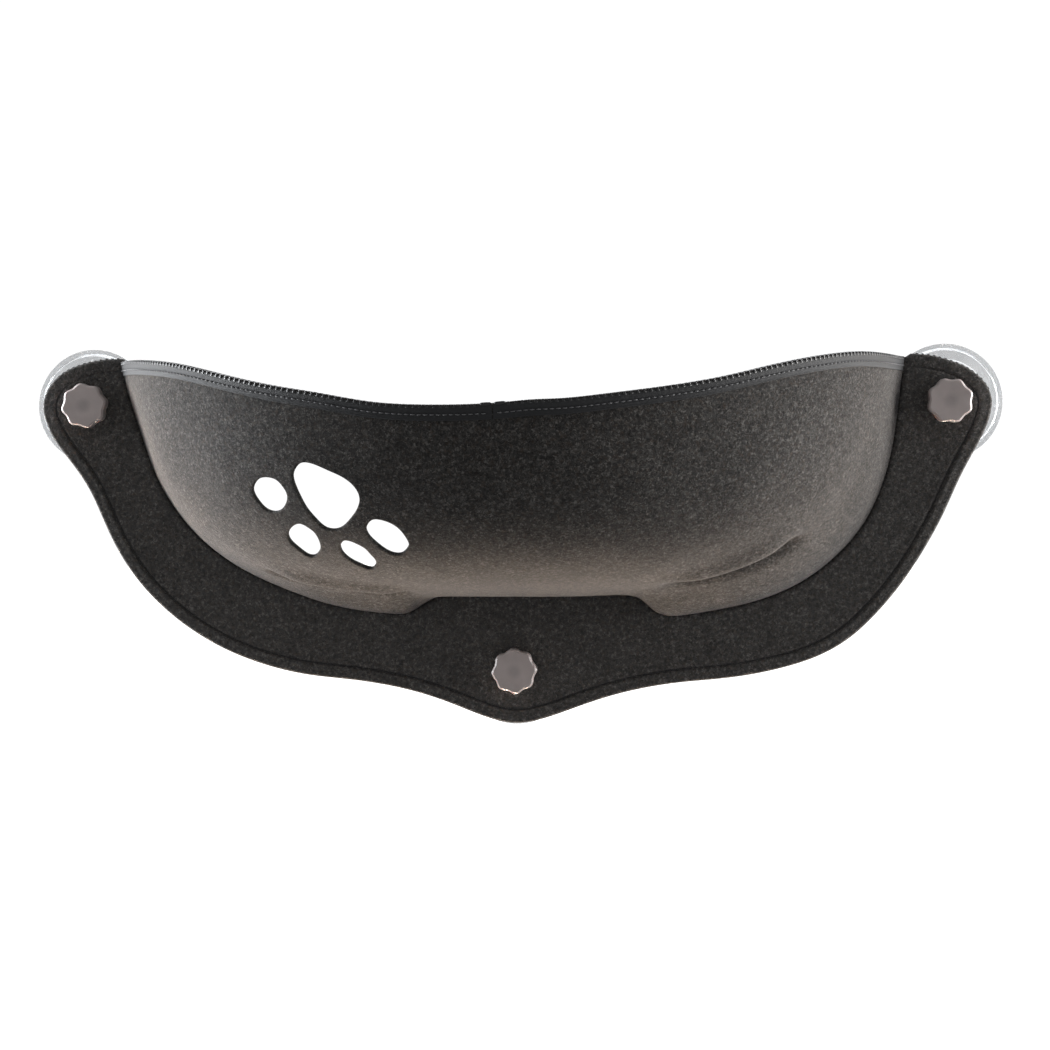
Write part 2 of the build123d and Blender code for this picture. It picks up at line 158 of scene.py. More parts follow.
# ---------------------------------------------------------------- basket shape
rows = np.array(BOWL)
row_u = np.concatenate([[0], np.cumsum(np.sqrt(
    np.diff(rows[:, 0]) ** 2 + (np.diff(rows[:, 1]) ** 2 + np.diff(rows[:, 2]) ** 2) / 2
))])
U_END = row_u[-1]
tab_u = np.linspace(0, U_END, 3000)
tab = cubic(row_u, rows, tab_u)
tab[:, 2] = np.maximum(tab[:, 2], 0)
bulge_a, bulge_v = np.array(BULGE).T
bulge_tab_a = np.linspace(-420, 420, 1700)
bulge_tab = cubic(bulge_a, bulge_v, bulge_tab_a)
rim_x, rim_z = np.array(RIM).T
rim_tab_x = np.linspace(-300, 300, 1201)
rim_tab = cubic(rim_x, rim_z, rim_tab_x)

# outline of the smooth basket on the panel, from the bottom centre upward
side = tab[::-1][:, [1, 0]]
side = np.concatenate([[[0.0, side[0, 1]]], side])
side_a = chords(side)
side_t = np.gradient(side, axis=0)
side_t /= np.linalg.norm(side_t, axis=1)[:, None]
side_n = np.stack([side_t[:, 1], -side_t[:, 0]], 1)      # outward
PIVOT_Z = 10.0
side_angle = np.unwrap(np.arctan2(side[:, 0], PIVOT_Z - side[:, 1]))


def puffed(p):
    """Soft lower corners: hanging lobes beside the panel, a fold before them."""
    x, y, z = p[..., 0], p[..., 1], p[..., 2]
    q = -Y_FACE - y
    angle = np.arctan2(np.abs(x), PIVOT_Z - z)
    a = np.interp(angle, side_angle, side_a)
    nx = np.interp(angle, side_angle, side_n[:, 0])
    nz = np.interp(angle, side_angle, side_n[:, 1])
    size = np.hypot(nx, nz)
    nx, nz = nx / size, nz / size
    signed = np.where(x >= 0, a, -a)
    amp = np.interp(signed, bulge_tab_a, bulge_tab)
    reach = np.where(x >= 0, 84.0, 70.0)
    fade = 1 - smooth(q, 10.0, reach)
    push = amp * fade
    # fold: a valley just behind the lower front edge
    right_in, right_out = smooth(signed, 104, 146), 1 - smooth(signed, 196, 232)
    left_in, left_out = smooth(-signed, 62, 92), 1 - smooth(-signed, 146, 184)
    valley = 10.4 * right_in * right_out + 11.6 * left_in * left_out
    q_v = np.where(x >= 0, 86.0, 73.0)
    width = np.where(x >= 0, 9.5, 7.6)
    push = push - valley * np.exp(-(((q - q_v) / width) ** 2))
    ridge = 3.8 * right_in * right_out + 4.2 * left_in * left_out
    push = push + ridge * np.exp(-(((q - q_v - 21.0) / 11.0) ** 2))
    out = p.copy()
    out[..., 0] = x + np.where(x >= 0, nx, -nx) * push
    out[..., 2] = z + nz * push
    return out


def bare(t, u):
    """Smooth basket's outer face at plan angle t and profile length u."""
    z = np.interp(u, tab_u, tab[:, 0])
    w = np.interp(u, tab_u, tab[:, 1])
    d = np.interp(u, tab_u, tab[:, 2])
    c, s = np.cos(t), np.sin(t)
    x = w * np.sign(c) * np.abs(c) ** (2 / BOWL_N)
    out = d * np.abs(s) ** (2 / BOWL_N)
    x = x * (1 - LEAN * (1 - np.exp(-out / LEAN_DEPTH)))
    return np.stack([x, BASE_Y - out, z], -1)


# plan angles that give even spacing along the wall
dense_t = np.linspace(0, math.pi, 4001)
mid = bare(dense_t, np.full_like(dense_t, np.interp(60.0, -tab[:, 0], tab_u)))
mid_c = chords(mid)
N_T, N_V = 304, 124
grid_t = np.interp(np.linspace(0, mid_c[-1], N_T + 1), mid_c, dense_t)
# profile length at which each angle meets the rim
rim_u = np.full_like(dense_t, 10.0)
for _ in range(12):
    x = bare(dense_t, rim_u)[:, 0]
    rim_u = np.interp(-np.interp(x, rim_tab_x, rim_tab), -tab[:, 0], tab_u)


def wall(t, v):
    """Outer face at plan angle t and share v of the way from rim to bottom."""
    top = np.interp(t, dense_t, rim_u)
    p = puffed(bare(t, top + (U_END - top) * v))
    # the felt is a little wavy
    wave = (
        0.55 * np.sin(t * 9.0 + 1.1) * np.sin(v * 7.0 + 0.4)
        + 0.35 * np.sin(t * 17.0 + 2.3) * np.sin(v * 13.0 + 1.7)
    ) * smooth(v, 0.0, 0.10) * (1 - smooth(v, 0.75, 0.95)) * smooth(np.sin(t), 0.02, 0.25)
    c, s = np.cos(t), np.sin(t)
    out = p.copy()
    out[..., 0] += wave * c
    out[..., 1] -= wave * s
    return out


def wall_frame(t, v):
    """Point, outward normal, direction along the rim and direction up."""
    e, f = 1e-3, 2e-3
    p = wall(t, v)
    dt = wall(np.clip(t + e, 0, math.pi), v) - wall(np.clip(t - e, 0, math.pi), v)
    dv = wall(t, np.clip(v + f, 0, 1)) - wall(t, np.clip(v - f, 0, 1))
    dt /= np.linalg.norm(dt, axis=-1)[..., None]
    n = np.cross(dv, dt)
    n /= np.linalg.norm(n, axis=-1)[..., None]
    up = np.cross(n, dt)
    flip = np.where(up[..., 2] < 0, -1.0, 1.0)[..., None]
    up = up * flip
    out = np.array([0, 60.0, 0]) - p
    n = n * np.where((n * out).sum(-1) > 0, -1.0, 1.0)[..., None]
    return p, n, dt, up


def below_rim(t, distance):
    """Share v at which the wall is that far below the rim, along the felt."""
    vs = np.linspace(0, 0.16, 33)
    tt, vv = np.broadcast_arrays(t[:, None], vs[None])
    p = wall(tt, vv)
    c = np.concatenate([np.zeros((len(t), 1)), np.cumsum(np.linalg.norm(np.diff(p, axis=1), axis=2), 1)], 1)
    return np.array([np.interp(distance, c[i], vs) for i in range(len(t))])


# ---------------------------------------------------------------- mesh helpers
def make(name, verts, faces, material, body, smooth_shade=True):
    mesh = bpy.data.meshes.new(name)
    mesh.from_pydata((np.asarray(verts) * MM).tolist(), [], [list(map(int, f)) for f in faces])
    mesh.validate()
    mesh.update()
    mesh.polygons.foreach_set("use_smooth", [smooth_shade] * len(mesh.polygons))
    o = bpy.data.objects.new(name, mesh)
    scene.collection.objects.link(o)
    mesh.materials.append(material)
    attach(o, body)
    return o


def normals_of(verts, faces):
    n = np.zeros_like(verts)
    quads = np.array([f for f in faces if len(f) == 4], int).reshape(-1, 4)
    tris = np.array([f for f in faces if len(f) == 3], int).reshape(-1, 3)
    if len(quads):
        g = np.cross(verts[quads[:, 2]] - verts[quads[:, 0]], verts[quads[:, 3]] - verts[quads[:, 1]])
        for k in range(4):
            np.add.at(n, quads[:, k], g)
    if len(tris):
        g = np.cross(verts[tris[:, 1]] - verts[tris[:, 0]], verts[tris[:, 2]] - verts[tris[:, 0]])
        for k in range(3):
            np.add.at(n, tris[:, k], g)
    return n / np.maximum(np.linalg.norm(n, axis=1), 1e-12)[:, None]


def thick(verts, faces, depth, radius=0.8, steps=3, normals=None):
    """Closed sheet: the given face, its other side at depth, rounded edges."""
    verts = np.asarray(verts, float)
    n = normals_of(verts, faces) if normals is None else normals
    depth = np.broadcast_to(np.asarray(depth, float), (len(verts),))
    radius = np.minimum(radius, depth * 0.49)
    count = len(verts)
    back = verts - n * depth[:, None]
    out_faces = [tuple(f) for f in faces] + [tuple(count + i for i in reversed(f)) for f in faces]
    seen = {}
    for f in faces:
        for a, b in zip(f, list(f[1:]) + [f[0]]):
            seen[(a, b)] = True
    edges = [(a, b) for (a, b) in seen if (b, a) not in seen]
    away = {}
    for a, b in edges:
        m = np.cross(verts[b] - verts[a], (n[a] + n[b]) / 2)
        m /= max(np.linalg.norm(m), 1e-9)
        for k in (a, b):
            away[k] = away.get(k, np.zeros(3)) + m
    extra, ring = [], {}
    for k, m in away.items():
        m = m / max(np.linalg.norm(m), 1e-9)
        r, dk = radius[k], depth[k]
        ids = [k]
        for s in range(1, steps + 1):
            th = math.pi / 2 * s / steps
            extra.append(verts[k] + m * r * math.sin(th) - n[k] * r * (1 - math.cos(th)))
            ids.append(2 * count + len(extra) - 1)
        for s in range(steps, 0, -1):
            th = math.pi / 2 * s / steps
            extra.append(verts[k] + m * r * math.sin(th) - n[k] * (dk - r * (1 - math.cos(th))))
            ids.append(2 * count + len(extra) - 1)
        ids.append(count + k)
        ring[k] = ids
    for a, b in edges:
        ra, rb = ring[a], ring[b]
        for i in range(len(ra) - 1):
            out_faces.append((rb[i], ra[i], ra[i + 1], rb[i + 1]))
    allv = np.concatenate([verts, back, np.array(extra).reshape(-1, 3)])
    return allv, out_faces


def inside(points, polygon):
    """Which 2-D points lie in a closed polygon."""
    x, y = points[:, 0], points[:, 1]
    hit = np.zeros(len(points), bool)
    p = np.asarray(polygon)
    for (x0, y0), (x1, y1) in zip(p, np.roll(p, -1, axis=0)):
        if y0 == y1:
            continue
        cross = ((y0 > y) != (y1 > y)) & (x < (x1 - x0) * (y - y0) / (y1 - y0) + x0)
        hit ^= cross
    return hit


def distance_to(points, line, closed=False):
    """Distance from 2-D points to a polyline."""
    line = np.asarray(line, float)
    ends = np.roll(line, -1, axis=0) if closed else line[1:]
    starts = line if closed else line[:-1]
    best = np.full(len(points), 1e9)
    for a, b in zip(starts, ends):
        d = b - a
        t = np.clip(((points - a) @ d) / max(d @ d, 1e-12), 0, 1)
        best = np.minimum(best, np.linalg.norm(points - a - t[:, None] * d, axis=1))
    return best


def pushed(line, distance):
    """Open polyline moved sideways, to its left for a positive distance."""
    line = np.asarray(line, float)
    t = np.gradient(line, axis=0)
    t /= np.linalg.norm(t, axis=1)[:, None]
    return line + np.stack([-t[:, 1], t[:, 0]], 1) * distance


def capsules(paths, normals, length, width, height, sink=0.0, segments=8, rings=7):
    """Short sewn stitches: each a rounded thread laid between two points."""
    verts, faces = [], []
    for (a, b), n in zip(paths, normals):
        a, b, n = np.asarray(a, float), np.asarray(b, float), np.asarray(n, float)
        d = b - a
        long = np.linalg.norm(d)
        d = d / long
        w = np.cross(n, d)
        w /= np.linalg.norm(w)
        base = len(verts)
        for i in range(rings):
            s = i / (rings - 1)
            r = math.sin(math.pi * (0.04 + 0.92 * s)) ** 0.55
            centre = a + d * long * s + n * (height * 0.5 * math.sin(math.pi * s) ** 0.8 - sink)
            for k in range(segments):
                th = 2 * math.pi * k / segments
                verts.append(centre + w * width / 2 * r * math.cos(th) + n * height / 2 * r * math.sin(th))
        for i in range(rings - 1):
            for k in range(segments):
                p, q = base + i * segments + k, base + i * segments + (k + 1) % segments
                faces.append((p, q, q + segments, p + segments))
        faces.append(tuple(base + k for k in reversed(range(segments))))
        faces.append(tuple(base + (rings - 1) * segments + k for k in range(segments)))
    return np.array(verts), faces


# ---------------------------------------------------------------- materials
class Mat:
    """Small helper that builds a node material."""

    def __init__(self, name):
        self.m = bpy.data.materials.new(name)
        self.m.use_nodes = True
        self.t = self.m.node_tree
        self.t.nodes.clear()
        self.out = self.t.nodes.new("ShaderNodeOutputMaterial")
        self.b = self.t.nodes.new("ShaderNodeBsdfPrincipled")
        self.t.links.new(self.b.outputs[0], self.out.inputs[0])
        self.co = self.t.nodes.new("ShaderNodeTexCoord").outputs["Object"]

    def set(self, **values):
        for k, v in values.items():
            self.b.inputs[k.replace("_", " ")].default_value = v
        return self

    def link(self, a, b):
        self.t.links.new(a, b)

    def stretch(self, x, y, z):
        n = self.t.nodes.new("ShaderNodeMapping")
        n.inputs["Scale"].default_value = (x, y, z)
        self.link(self.co, n.inputs["Vector"])
        return n.outputs[0]

    def noise(self, scale, detail=3.0, rough=0.6, distort=0.0, vector=None):
        n = self.t.nodes.new("ShaderNodeTexNoise")
        n.inputs["Scale"].default_value = scale
        n.inputs["Detail"].default_value = detail
        n.inputs["Roughness"].default_value = rough
        n.inputs["Distortion"].default_value = distort
        self.link(vector or self.co, n.inputs["Vector"])
        return n.outputs["Fac"]

    def voronoi(self, scale, feature="F1", vector=None, out="Distance"):
        n = self.t.nodes.new("ShaderNodeTexVoronoi")
        n.feature = feature
        n.inputs["Scale"].default_value = scale
        self.link(vector or self.co, n.inputs["Vector"])
        return n.outputs[out]

    def wave(self, scale, direction="X", distort=0.0, vector=None):
        n = self.t.nodes.new("ShaderNodeTexWave")
        n.bands_direction = direction
        n.inputs["Scale"].default_value = scale
        n.inputs["Distortion"].default_value = distort
        self.link(vector or self.co, n.inputs["Vector"])
        return n.outputs["Fac"]

    def ramp(self, fac, stops):
        n = self.t.nodes.new("ShaderNodeValToRGB")
        e = n.color_ramp.elements
        while len(e) < len(stops):
            e.new(0.5)
        for el, (p, c) in zip(e, stops):
            el.position = p
            el.color = (*c, 1.0)
        self.link(fac, n.inputs[0])
        return n.outputs[0]

    def span(self, fac, a, b, lo, hi):
        n = self.t.nodes.new("ShaderNodeMapRange")
        for i, v in enumerate((a, b, lo, hi)):
            n.inputs[i + 1].default_value = v
        self.link(fac, n.inputs[0])
        return n.outputs[0]

    def math(self, op, a, b=None):
        n = self.t.nodes.new("ShaderNodeMath")
        n.operation = op
        for i, v in enumerate((a, b)):
            if v is None:
                continue
            if isinstance(v, (int, float)):
                n.inputs[i].default_value = v
            else:
                self.link(v, n.inputs[i])
        return n.outputs[0]

    def mix(self, fac, a, b, mode="MIX"):
        n = self.t.nodes.new("ShaderNodeMix")
        n.data_type = "RGBA"
        n.blend_type = mode
        for sock, v in ((n.inputs["Factor"], fac), (n.inputs[6], a), (n.inputs[7], b)):
            if isinstance(v, (int, float)):
                sock.default_value = v
            elif isinstance(v, tuple):
                sock.default_value = (*v, 1.0)
            else:
                self.link(v, sock)
        return n.outputs[2]

    def bump(self, height, strength, distance, under=None):
        n = self.t.nodes.new("ShaderNodeBump")
        n.inputs["Strength"].default_value = strength
        n.inputs["Distance"].default_value = distance
        self.link(height, n.inputs["Height"])
        if under is not None:
            self.link(under, n.inputs["Normal"])
        return n.outputs[0]

    def to(self, socket, value):
        self.link(value, self.b.inputs[socket])
        return self


def felt(name, dark, mid, light, warm, cool, sheen, speck=1.0):
    """Needled heather felt: dark fibres with paler, warmer and cooler ones."""
    m = Mat(name)
    blot = m.noise(560.0, 3.0, 0.66, 0.8)
    fine = m.noise(1900.0, 2.0, 0.55, 0.3)
    hair = m.noise(1.0, 3.0, 0.6, 1.2, m.stretch(520.0, 520.0, 1500.0))
    hair2 = m.noise(1.0, 3.0, 0.6, 1.2, m.stretch(1500.0, 900.0, 480.0))
    cloud = m.noise(36.0, 3.0, 0.55)
    clump = m.noise(1.0, 2.0, 0.65, 0.6, m.stretch(270.0, 165.0, 320.0))
    grey = m.ramp(blot, [(0.37, dark), (0.46, mid), (0.54, mid), (0.65, light)])
    fibre = m.span(m.math("MULTIPLY", hair, hair2), 0.22, 0.46, 0.0, 1.0)
    grey = m.mix(m.math("MULTIPLY", fibre, 0.55 * speck), grey, light)
    tint = m.noise(420.0, 2.0, 0.5)
    grey = m.mix(m.span(tint, 0.54, 0.72, 0.0, 0.65), grey, warm)
    grey = m.mix(m.span(tint, 0.46, 0.28, 0.0, 0.55), grey, cool)
    grey = m.mix(m.span(cloud, 0.30, 0.72, 0.30, 0.0), grey, dark)
    grey = m.mix(m.span(fine, 0.35, 0.75, 0.0, 0.22 * speck), grey, light)
    grey = m.mix(m.span(clump, 0.47, 0.30, 0.0, 0.50 * speck), grey, dark)
    grey = m.mix(m.span(clump, 0.54, 0.74, 0.0, 0.34 * speck), grey, light)
    m.to("Base Color", grey)
    m.to("Roughness", m.span(blot, 0.25, 0.8, 0.98, 0.84))
    height = m.math("ADD", m.math("MULTIPLY", blot, 0.6), m.math("MULTIPLY", fibre, 0.4))
    soft = m.bump(height, 0.55, 0.0007)
    m.to("Normal", m.bump(fine, 0.35, 0.0003, soft))
    m.set(Specular_IOR_Level=0.18, Sheen_Weight=sheen, Sheen_Roughness=0.36, Sheen_Tint=(0.95, 0.95, 1.0, 1.0))
    return m.m


basket_mat = felt(
    "heather_felt", (0.005, 0.0047, 0.0048), (0.020, 0.0187, 0.0181), (0.150, 0.143, 0.136),
    (0.052, 0.036, 0.026), (0.021, 0.0235, 0.026), 0.12)
panel_mat = felt(
    "dark_felt", (0.019, 0.0185, 0.0185), (0.058, 0.0555, 0.0535), (0.20, 0.19, 0.182),
    (0.090, 0.072, 0.056), (0.050, 0.056, 0.062), 0.12, 0.7)


def thread_material(name, dark, light):
    m = Mat(name)
    twist = m.wave(900.0, "DIAGONAL", 1.0)
    fuzz = m.noise(2600.0, 2.0, 0.6)
    m.to("Base Color", m.mix(fuzz, m.ramp(twist, [(0.15, dark), (0.85, light)]), light))
    m.to("Roughness", m.span(fuzz, 0.3, 0.8, 0.55, 0.8))
    m.to("Normal", m.bump(twist, 0.6, 0.0002))
    m.set(Sheen_Weight=0.25, Sheen_Roughness=0.4)
    return m.m


thread_mat = thread_material("black_thread", (0.008, 0.008, 0.009), (0.03, 0.03, 0.032))
tape_thread_mat = thread_material("grey_thread", (0.03, 0.03, 0.034), (0.16, 0.16, 0.17))


def tape_material():
    m = Mat("woven_tape")
    ribs = m.wave(420.0, "X", 0.6, m.stretch(1.0, 1.0, 0.15))
    weft = m.wave(520.0, "Z", 0.8)
    speck = m.noise(1500.0, 2.0, 0.6)
    colour = m.ramp(m.math("MULTIPLY", ribs, weft), [(0.05, (0.008, 0.0086, 0.010)), (0.8, (0.022, 0.0234, 0.027))])
    m.to("Base Color", m.mix(m.span(speck, 0.4, 0.8, 0.0, 0.35), colour, (0.046, 0.047, 0.052)))
    m.to("Roughness", m.span(speck, 0.3, 0.8, 0.6, 0.85))
    m.to("Normal", m.bump(weft, 0.35, 0.00025, m.bump(ribs, 0.35, 0.00025)))
    m.set(Sheen_Weight=0.03, Sheen_Roughness=0.35)
    return m.m


def moulded(name, dark, light, rough_lo, rough_hi, scale=300.0, coat=0.0):
    m = Mat(name)
    a = m.noise(scale, 3.0, 0.6)
    fine = m.noise(scale * 6, 2.0, 0.6)
    m.to("Base Color", m.ramp(a, [(0.3, dark), (0.7, light)]))
    m.to("Roughness", m.span(fine, 0.3, 0.7, rough_lo, rough_hi))
    m.to("Normal", m.bump(fine, 0.12, 0.00015))
    m.set(Coat_Weight=coat, Coat_Roughness=0.25)
    return m


tape_mat = tape_material()
teeth_mat = moulded("zip_plastic", (0.012, 0.012, 0.013), (0.026, 0.026, 0.029), 0.28, 0.45).m
board_mat = moulded("board_plastic", (0.012, 0.012, 0.012), (0.025, 0.025, 0.025), 0.5, 0.7).m
washer_mat = moulded("nylon", (0.02, 0.02, 0.021), (0.045, 0.045, 0.046), 0.4, 0.55).m


def knob_material():
    """Grey-mauve plastic with a painted reflection: a darker spot at the centre of each knob's face."""
    m = Mat("knob_plastic")
    cloud = m.noise(60.0, 3.0, 0.55)
    fine = m.noise(1500.0, 2.0, 0.6)
    colour = m.ramp(cloud, [(0.25, (0.43, 0.375, 0.365)), (0.75, (0.55, 0.485, 0.475))])
    sep = m.t.nodes.new("ShaderNodeSeparateXYZ")
    m.link(m.co, sep.inputs[0])
    near = None
    for x, z in SITES.values():
        dx = m.math("SUBTRACT", sep.outputs[0], x * MM)
        dz = m.math("SUBTRACT", sep.outputs[2], z * MM)
        d = m.math("SQRT", m.math("ADD", m.math("MULTIPLY", dx, dx), m.math("MULTIPLY", dz, dz)))
        near = d if near is None else m.math("MINIMUM", near, d)
    # painted reflection: the face is darker in a round spot about each knob's centre
    spot = m.span(near, 0.0022, 0.0062, 0.38, 0.0)
    colour = m.mix(spot, colour, (0.24, 0.21, 0.215))
    m.to("Base Color", m.mix(m.span(fine, 0.4, 0.8, 0.0, 0.12), colour, (0.5, 0.45, 0.44)))
    m.to("Roughness", m.span(fine, 0.3, 0.7, 0.34, 0.46))
    m.to("Normal", m.bump(cloud, 0.12, 0.0006, m.bump(fine, 0.05, 0.0001)))
    m.set(Subsurface_Weight=0.25, Subsurface_Radius=(0.004, 0.003, 0.003), Subsurface_Scale=0.6,
          Specular_IOR_Level=0.5, Coat_Weight=0.15, Coat_Roughness=0.2)
    return m.m


def cup_material():
    m = Mat("clear_vinyl")
    cloud = m.noise(40.0, 3.0, 0.6)
    fine = m.noise(500.0, 2.0, 0.6)
    m.to("Base Color", m.ramp(cloud, [(0.3, (0.60, 0.62, 0.64)), (0.8, (0.77, 0.785, 0.80))]))
    m.to("Roughness", m.span(fine, 0.3, 0.8, 0.10, 0.22))
    m.to("Normal", m.bump(fine, 0.08, 0.0003))
    m.set(Transmission_Weight=0.62, IOR=1.42, Alpha=0.80, Specular_IOR_Level=0.5)
    return m.m


def metal(name, dark, light, rough_lo, rough_hi, metallic=1.0):
    m = Mat(name)
    turned = m.wave(1400.0, "Y", 1.5)
    cloud = m.noise(160.0, 3.0, 0.6)
    m.to("Base Color", m.ramp(cloud, [(0.25, dark), (0.75, light)]))
    m.to("Roughness", m.span(cloud, 0.3, 0.7, rough_lo, rough_hi))
    m.to("Normal", m.bump(turned, 0.08, 0.0001))
    m.set(Metallic=metallic)
    return m.m


knob_mat = knob_material()
cup_mat = cup_material()
steel_mat = metal("plated_steel", (0.42, 0.42, 0.43), (0.62, 0.62, 0.61), 0.22, 0.4)
brass_mat = metal("brass", (0.50, 0.34, 0.13), (0.66, 0.48, 0.22), 0.25, 0.42)
eyelet_mat = metal("black_eyelet", (0.05, 0.05, 0.052), (0.11, 0.11, 0.115), 0.3, 0.5)

for name, o in cad.items():
    if name.startswith("knob_insert"):
        m = brass_mat
    elif name.startswith("knob"):
        m = knob_mat
    elif name.startswith("suction_cup"):
        m = cup_mat
    elif name.startswith("cup_stud"):
        m = steel_mat
    elif name.startswith("eyelet"):
        m = eyelet_mat
    elif name.startswith("washer"):
        m = washer_mat
    elif name.startswith("zip_stop"):
        m = teeth_mat
    elif name.startswith("zip_"):
        m = teeth_mat
    elif name == "panel_board":
        m = board_mat
    else:
        m = panel_mat
    o.data.materials.clear()
    o.data.materials.append(m)

# ---------------------------------------------------------------- basket
PAW_AT = np.array((-105.14, -208.54, -77.93))
PAW_X = np.array((0.9257, -0.3783, 0.0))
PAW_N = np.array((-0.3067, -0.7507, -0.5851))
PAW_Y = np.cross(PAW_N, PAW_X)
HOLES = [
    [(27.1, 21.0), (23.1, 10.4), (14.7, 1.3), (4.6, -5.5), (-4.9, -5.0), (-10.2, 2.0), (-13.8, 10.2),
     (-15.5, 19.7), (-16.1, 29.5), (-14.0, 39.9), (-5.2, 46.5), (3.8, 44.5), (11.3, 40.2), (18.7, 35.8), (24.6, 29.7)],
    [(-24.9, 21.8), (-27.2, 14.7), (-33.0, 9.1), (-39.8, 7.9), (-44.8, 10.8), (-47.4, 16.1),
     (-48.8, 22.1), (-47.2, 29.1), (-41.2, 34.1), (-34.4, 35.0), (-28.9, 32.8), (-26.1, 27.9)],
    [(-14.3, -14.6), (-14.7, -20.9), (-19.1, -27.0), (-25.1, -27.5), (-29.1, -24.2), (-32.5, -19.9),
     (-35.2, -15.2), (-35.1, -9.0), (-29.9, -3.6), (-23.5, -2.1), (-19.1, -5.0), (-15.7, -9.0)],
    [(19.8, -26.6), (22.0, -31.9), (19.8, -36.6), (14.8, -36.4), (10.2, -34.2), (5.4, -31.2),
     (1.8, -27.3), (-0.1, -21.9), (2.1, -15.8), (8.2, -15.8), (13.0, -18.4), (17.2, -21.7)],
    [(49.3, -11.4), (50.1, -18.4), (44.2, -24.6), (37.2, -24.8), (31.8, -21.5), (27.7, -16.7),
     (24.4, -11.3), (23.8, -4.2), (29.6, 1.7), (36.5, 1.4), (42.3, -1.2), (46.7, -5.4)],
]
CUT_EDGE = np.array((-2.0, -2.1))             # width of the cut edge that stays in view


def closed_curve(points, step):
    """Closed smooth curve through the points."""
    p = np.array(points)
    m = len(p)
    q = np.concatenate([p[-3:], p, p[:4]])
    c = chords(q)
    s = np.linspace(c[3], c[3 + m], 400, endpoint=False)
    fine = cubic(c, q, s)
    fine = np.concatenate([fine, fine[:1]])
    return even(fine, step)[:-1]


gi, gj = np.meshgrid(np.arange(N_T + 1), np.arange(N_V + 1), indexing="ij")
grid = wall(grid_t[gi], gj / N_V)
index = (gi * (N_V + 1) + gj)
flat_grid = grid.reshape(-1, 3)
quads = [
    (index[i, j], index[i, j + 1], index[i + 1, j + 1], index[i + 1, j])
    for i in range(N_T) for j in range(N_V)
]
bvh = BVHTree.FromPolygons([Vector(p) for p in flat_grid], [tuple(int(k) for k in q) for q in quads])
eye = Vector(EYE) / MM
EDGE_R = 0.7
loops = []
for hole in HOLES:
    curve = closed_curve(hole, 1.5)
    area = 0.5 * np.sum(curve[:, 0] * np.roll(curve[:, 1], -1) - np.roll(curve[:, 0], -1) * curve[:, 1])
    if area < 0:
        curve = curve[::-1]
    along = np.roll(curve, -1, axis=0) - np.roll(curve, 1, axis=0)
    along /= np.linalg.norm(along, axis=1)[:, None]
    faces_edge = np.stack([along[:, 1], -along[:, 0]], 1) @ (CUT_EDGE / np.linalg.norm(CUT_EDGE))
    curve = curve + smooth(faces_edge, -0.45, 0.45)[:, None] * CUT_EDGE
    ij = []
    for a, b in curve:
        target = PAW_AT + PAW_X * a + PAW_Y * b
        way = (Vector(target) - eye).normalized()
        spot, _, face, _ = bvh.ray_cast(eye, way)
        i, j = divmod(face, N_V)
        p00, p10, p01 = grid[i, j], grid[i + 1, j], grid[i, j + 1]
        system = np.stack([p10 - p00, p01 - p00], 1)
        fi, fj = np.linalg.lstsq(system, np.array(spot) - p00, rcond=None)[0]
        ij.append((i + fi, j + fj))
    loops.append(np.array(ij))
every = np.concatenate(loops)
i0, i1 = int(every[:, 0].min()) - 4, int(every[:, 0].max()) + 5
j0, j1 = int(every[:, 1].min()) - 4, int(every[:, 1].max()) + 5

cdt_points, cdt_edges = [], []
for loop in loops:
    start = len(cdt_points)
    cdt_points += [tuple(p) for p in loop]
    m = len(loop)
    cdt_edges += [(start + k, start + (k + 1) % m) for k in range(m)]
    wide = loop + 0.55 * np.stack([
        np.gradient(np.concatenate([loop[-1:], loop, loop[:1]]), axis=0)[1:-1, 1],
        -np.gradient(np.concatenate([loop[-1:], loop, loop[:1]]), axis=0)[1:-1, 0],
    ], 1) / np.linalg.norm(np.gradient(np.concatenate([loop[-1:], loop, loop[:1]]), axis=0)[1:-1], axis=1)[:, None]
    cdt_points += [tuple(p) for p in wide]
hole_pts = len(cdt_points)
lattice = np.array([(i, j) for i in range(i0, i1 + 1) for j in range(j0, j1 + 1)], float)
keep = np.ones(len(lattice), bool)
border = (lattice[:, 0] == i0) | (lattice[:, 0] == i1) | (lattice[:, 1] == j0) | (lattice[:, 1] == j1)
for loop in loops:
    keep &= ~inside(lattice, loop) & (distance_to(lattice, loop, True) > 1.0)
keep |= border
lattice = lattice[keep]
cdt_points += [tuple(p) for p in lattice]
made, _, tris, _, _, _ = delaunay_2d_cdt([Vector(p) for p in cdt_points], cdt_edges, [], 0, 1e-5)
made = np.array([tuple(p) for p in made])
tris = np.array([t for t in tris if len(t) == 3])
mid_t = made[tris].mean(1)
good = np.ones(len(tris), bool)
for loop in loops:
    good &= ~inside(mid_t, loop)
tris = tris[good]
basket_v = [flat_grid]
start = len(flat_grid)
rename = {}
new = []
for k, (a, b) in enumerate(made):
    ri, rj = round(a), round(b)
    if abs(a - ri) < 1e-4 and abs(b - rj) < 1e-4:
        rename[k] = int(index[ri, rj])
    else:
        rename[k] = start + len(new)
        new.append((a, b))
new = np.array(new)
basket_v.append(wall(np.interp(new[:, 0], np.arange(N_T + 1), grid_t), new[:, 1] / N_V))
basket_f = [
    q for k, q in enumerate(quads)
    if not (i0 <= k // N_V < i1 and j0 <= k % N_V < j1)
]
for a, b, c in tris:
    pa, pb, pc = made[a], made[b], made[c]
    turn = (pb[0] - pa[0]) * (pc[1] - pa[1]) - (pc[0] - pa[0]) * (pb[1] - pa[1])
    t = (rename[a], rename[b], rename[c])
    basket_f.append(t if turn < 0 else t[::-1])

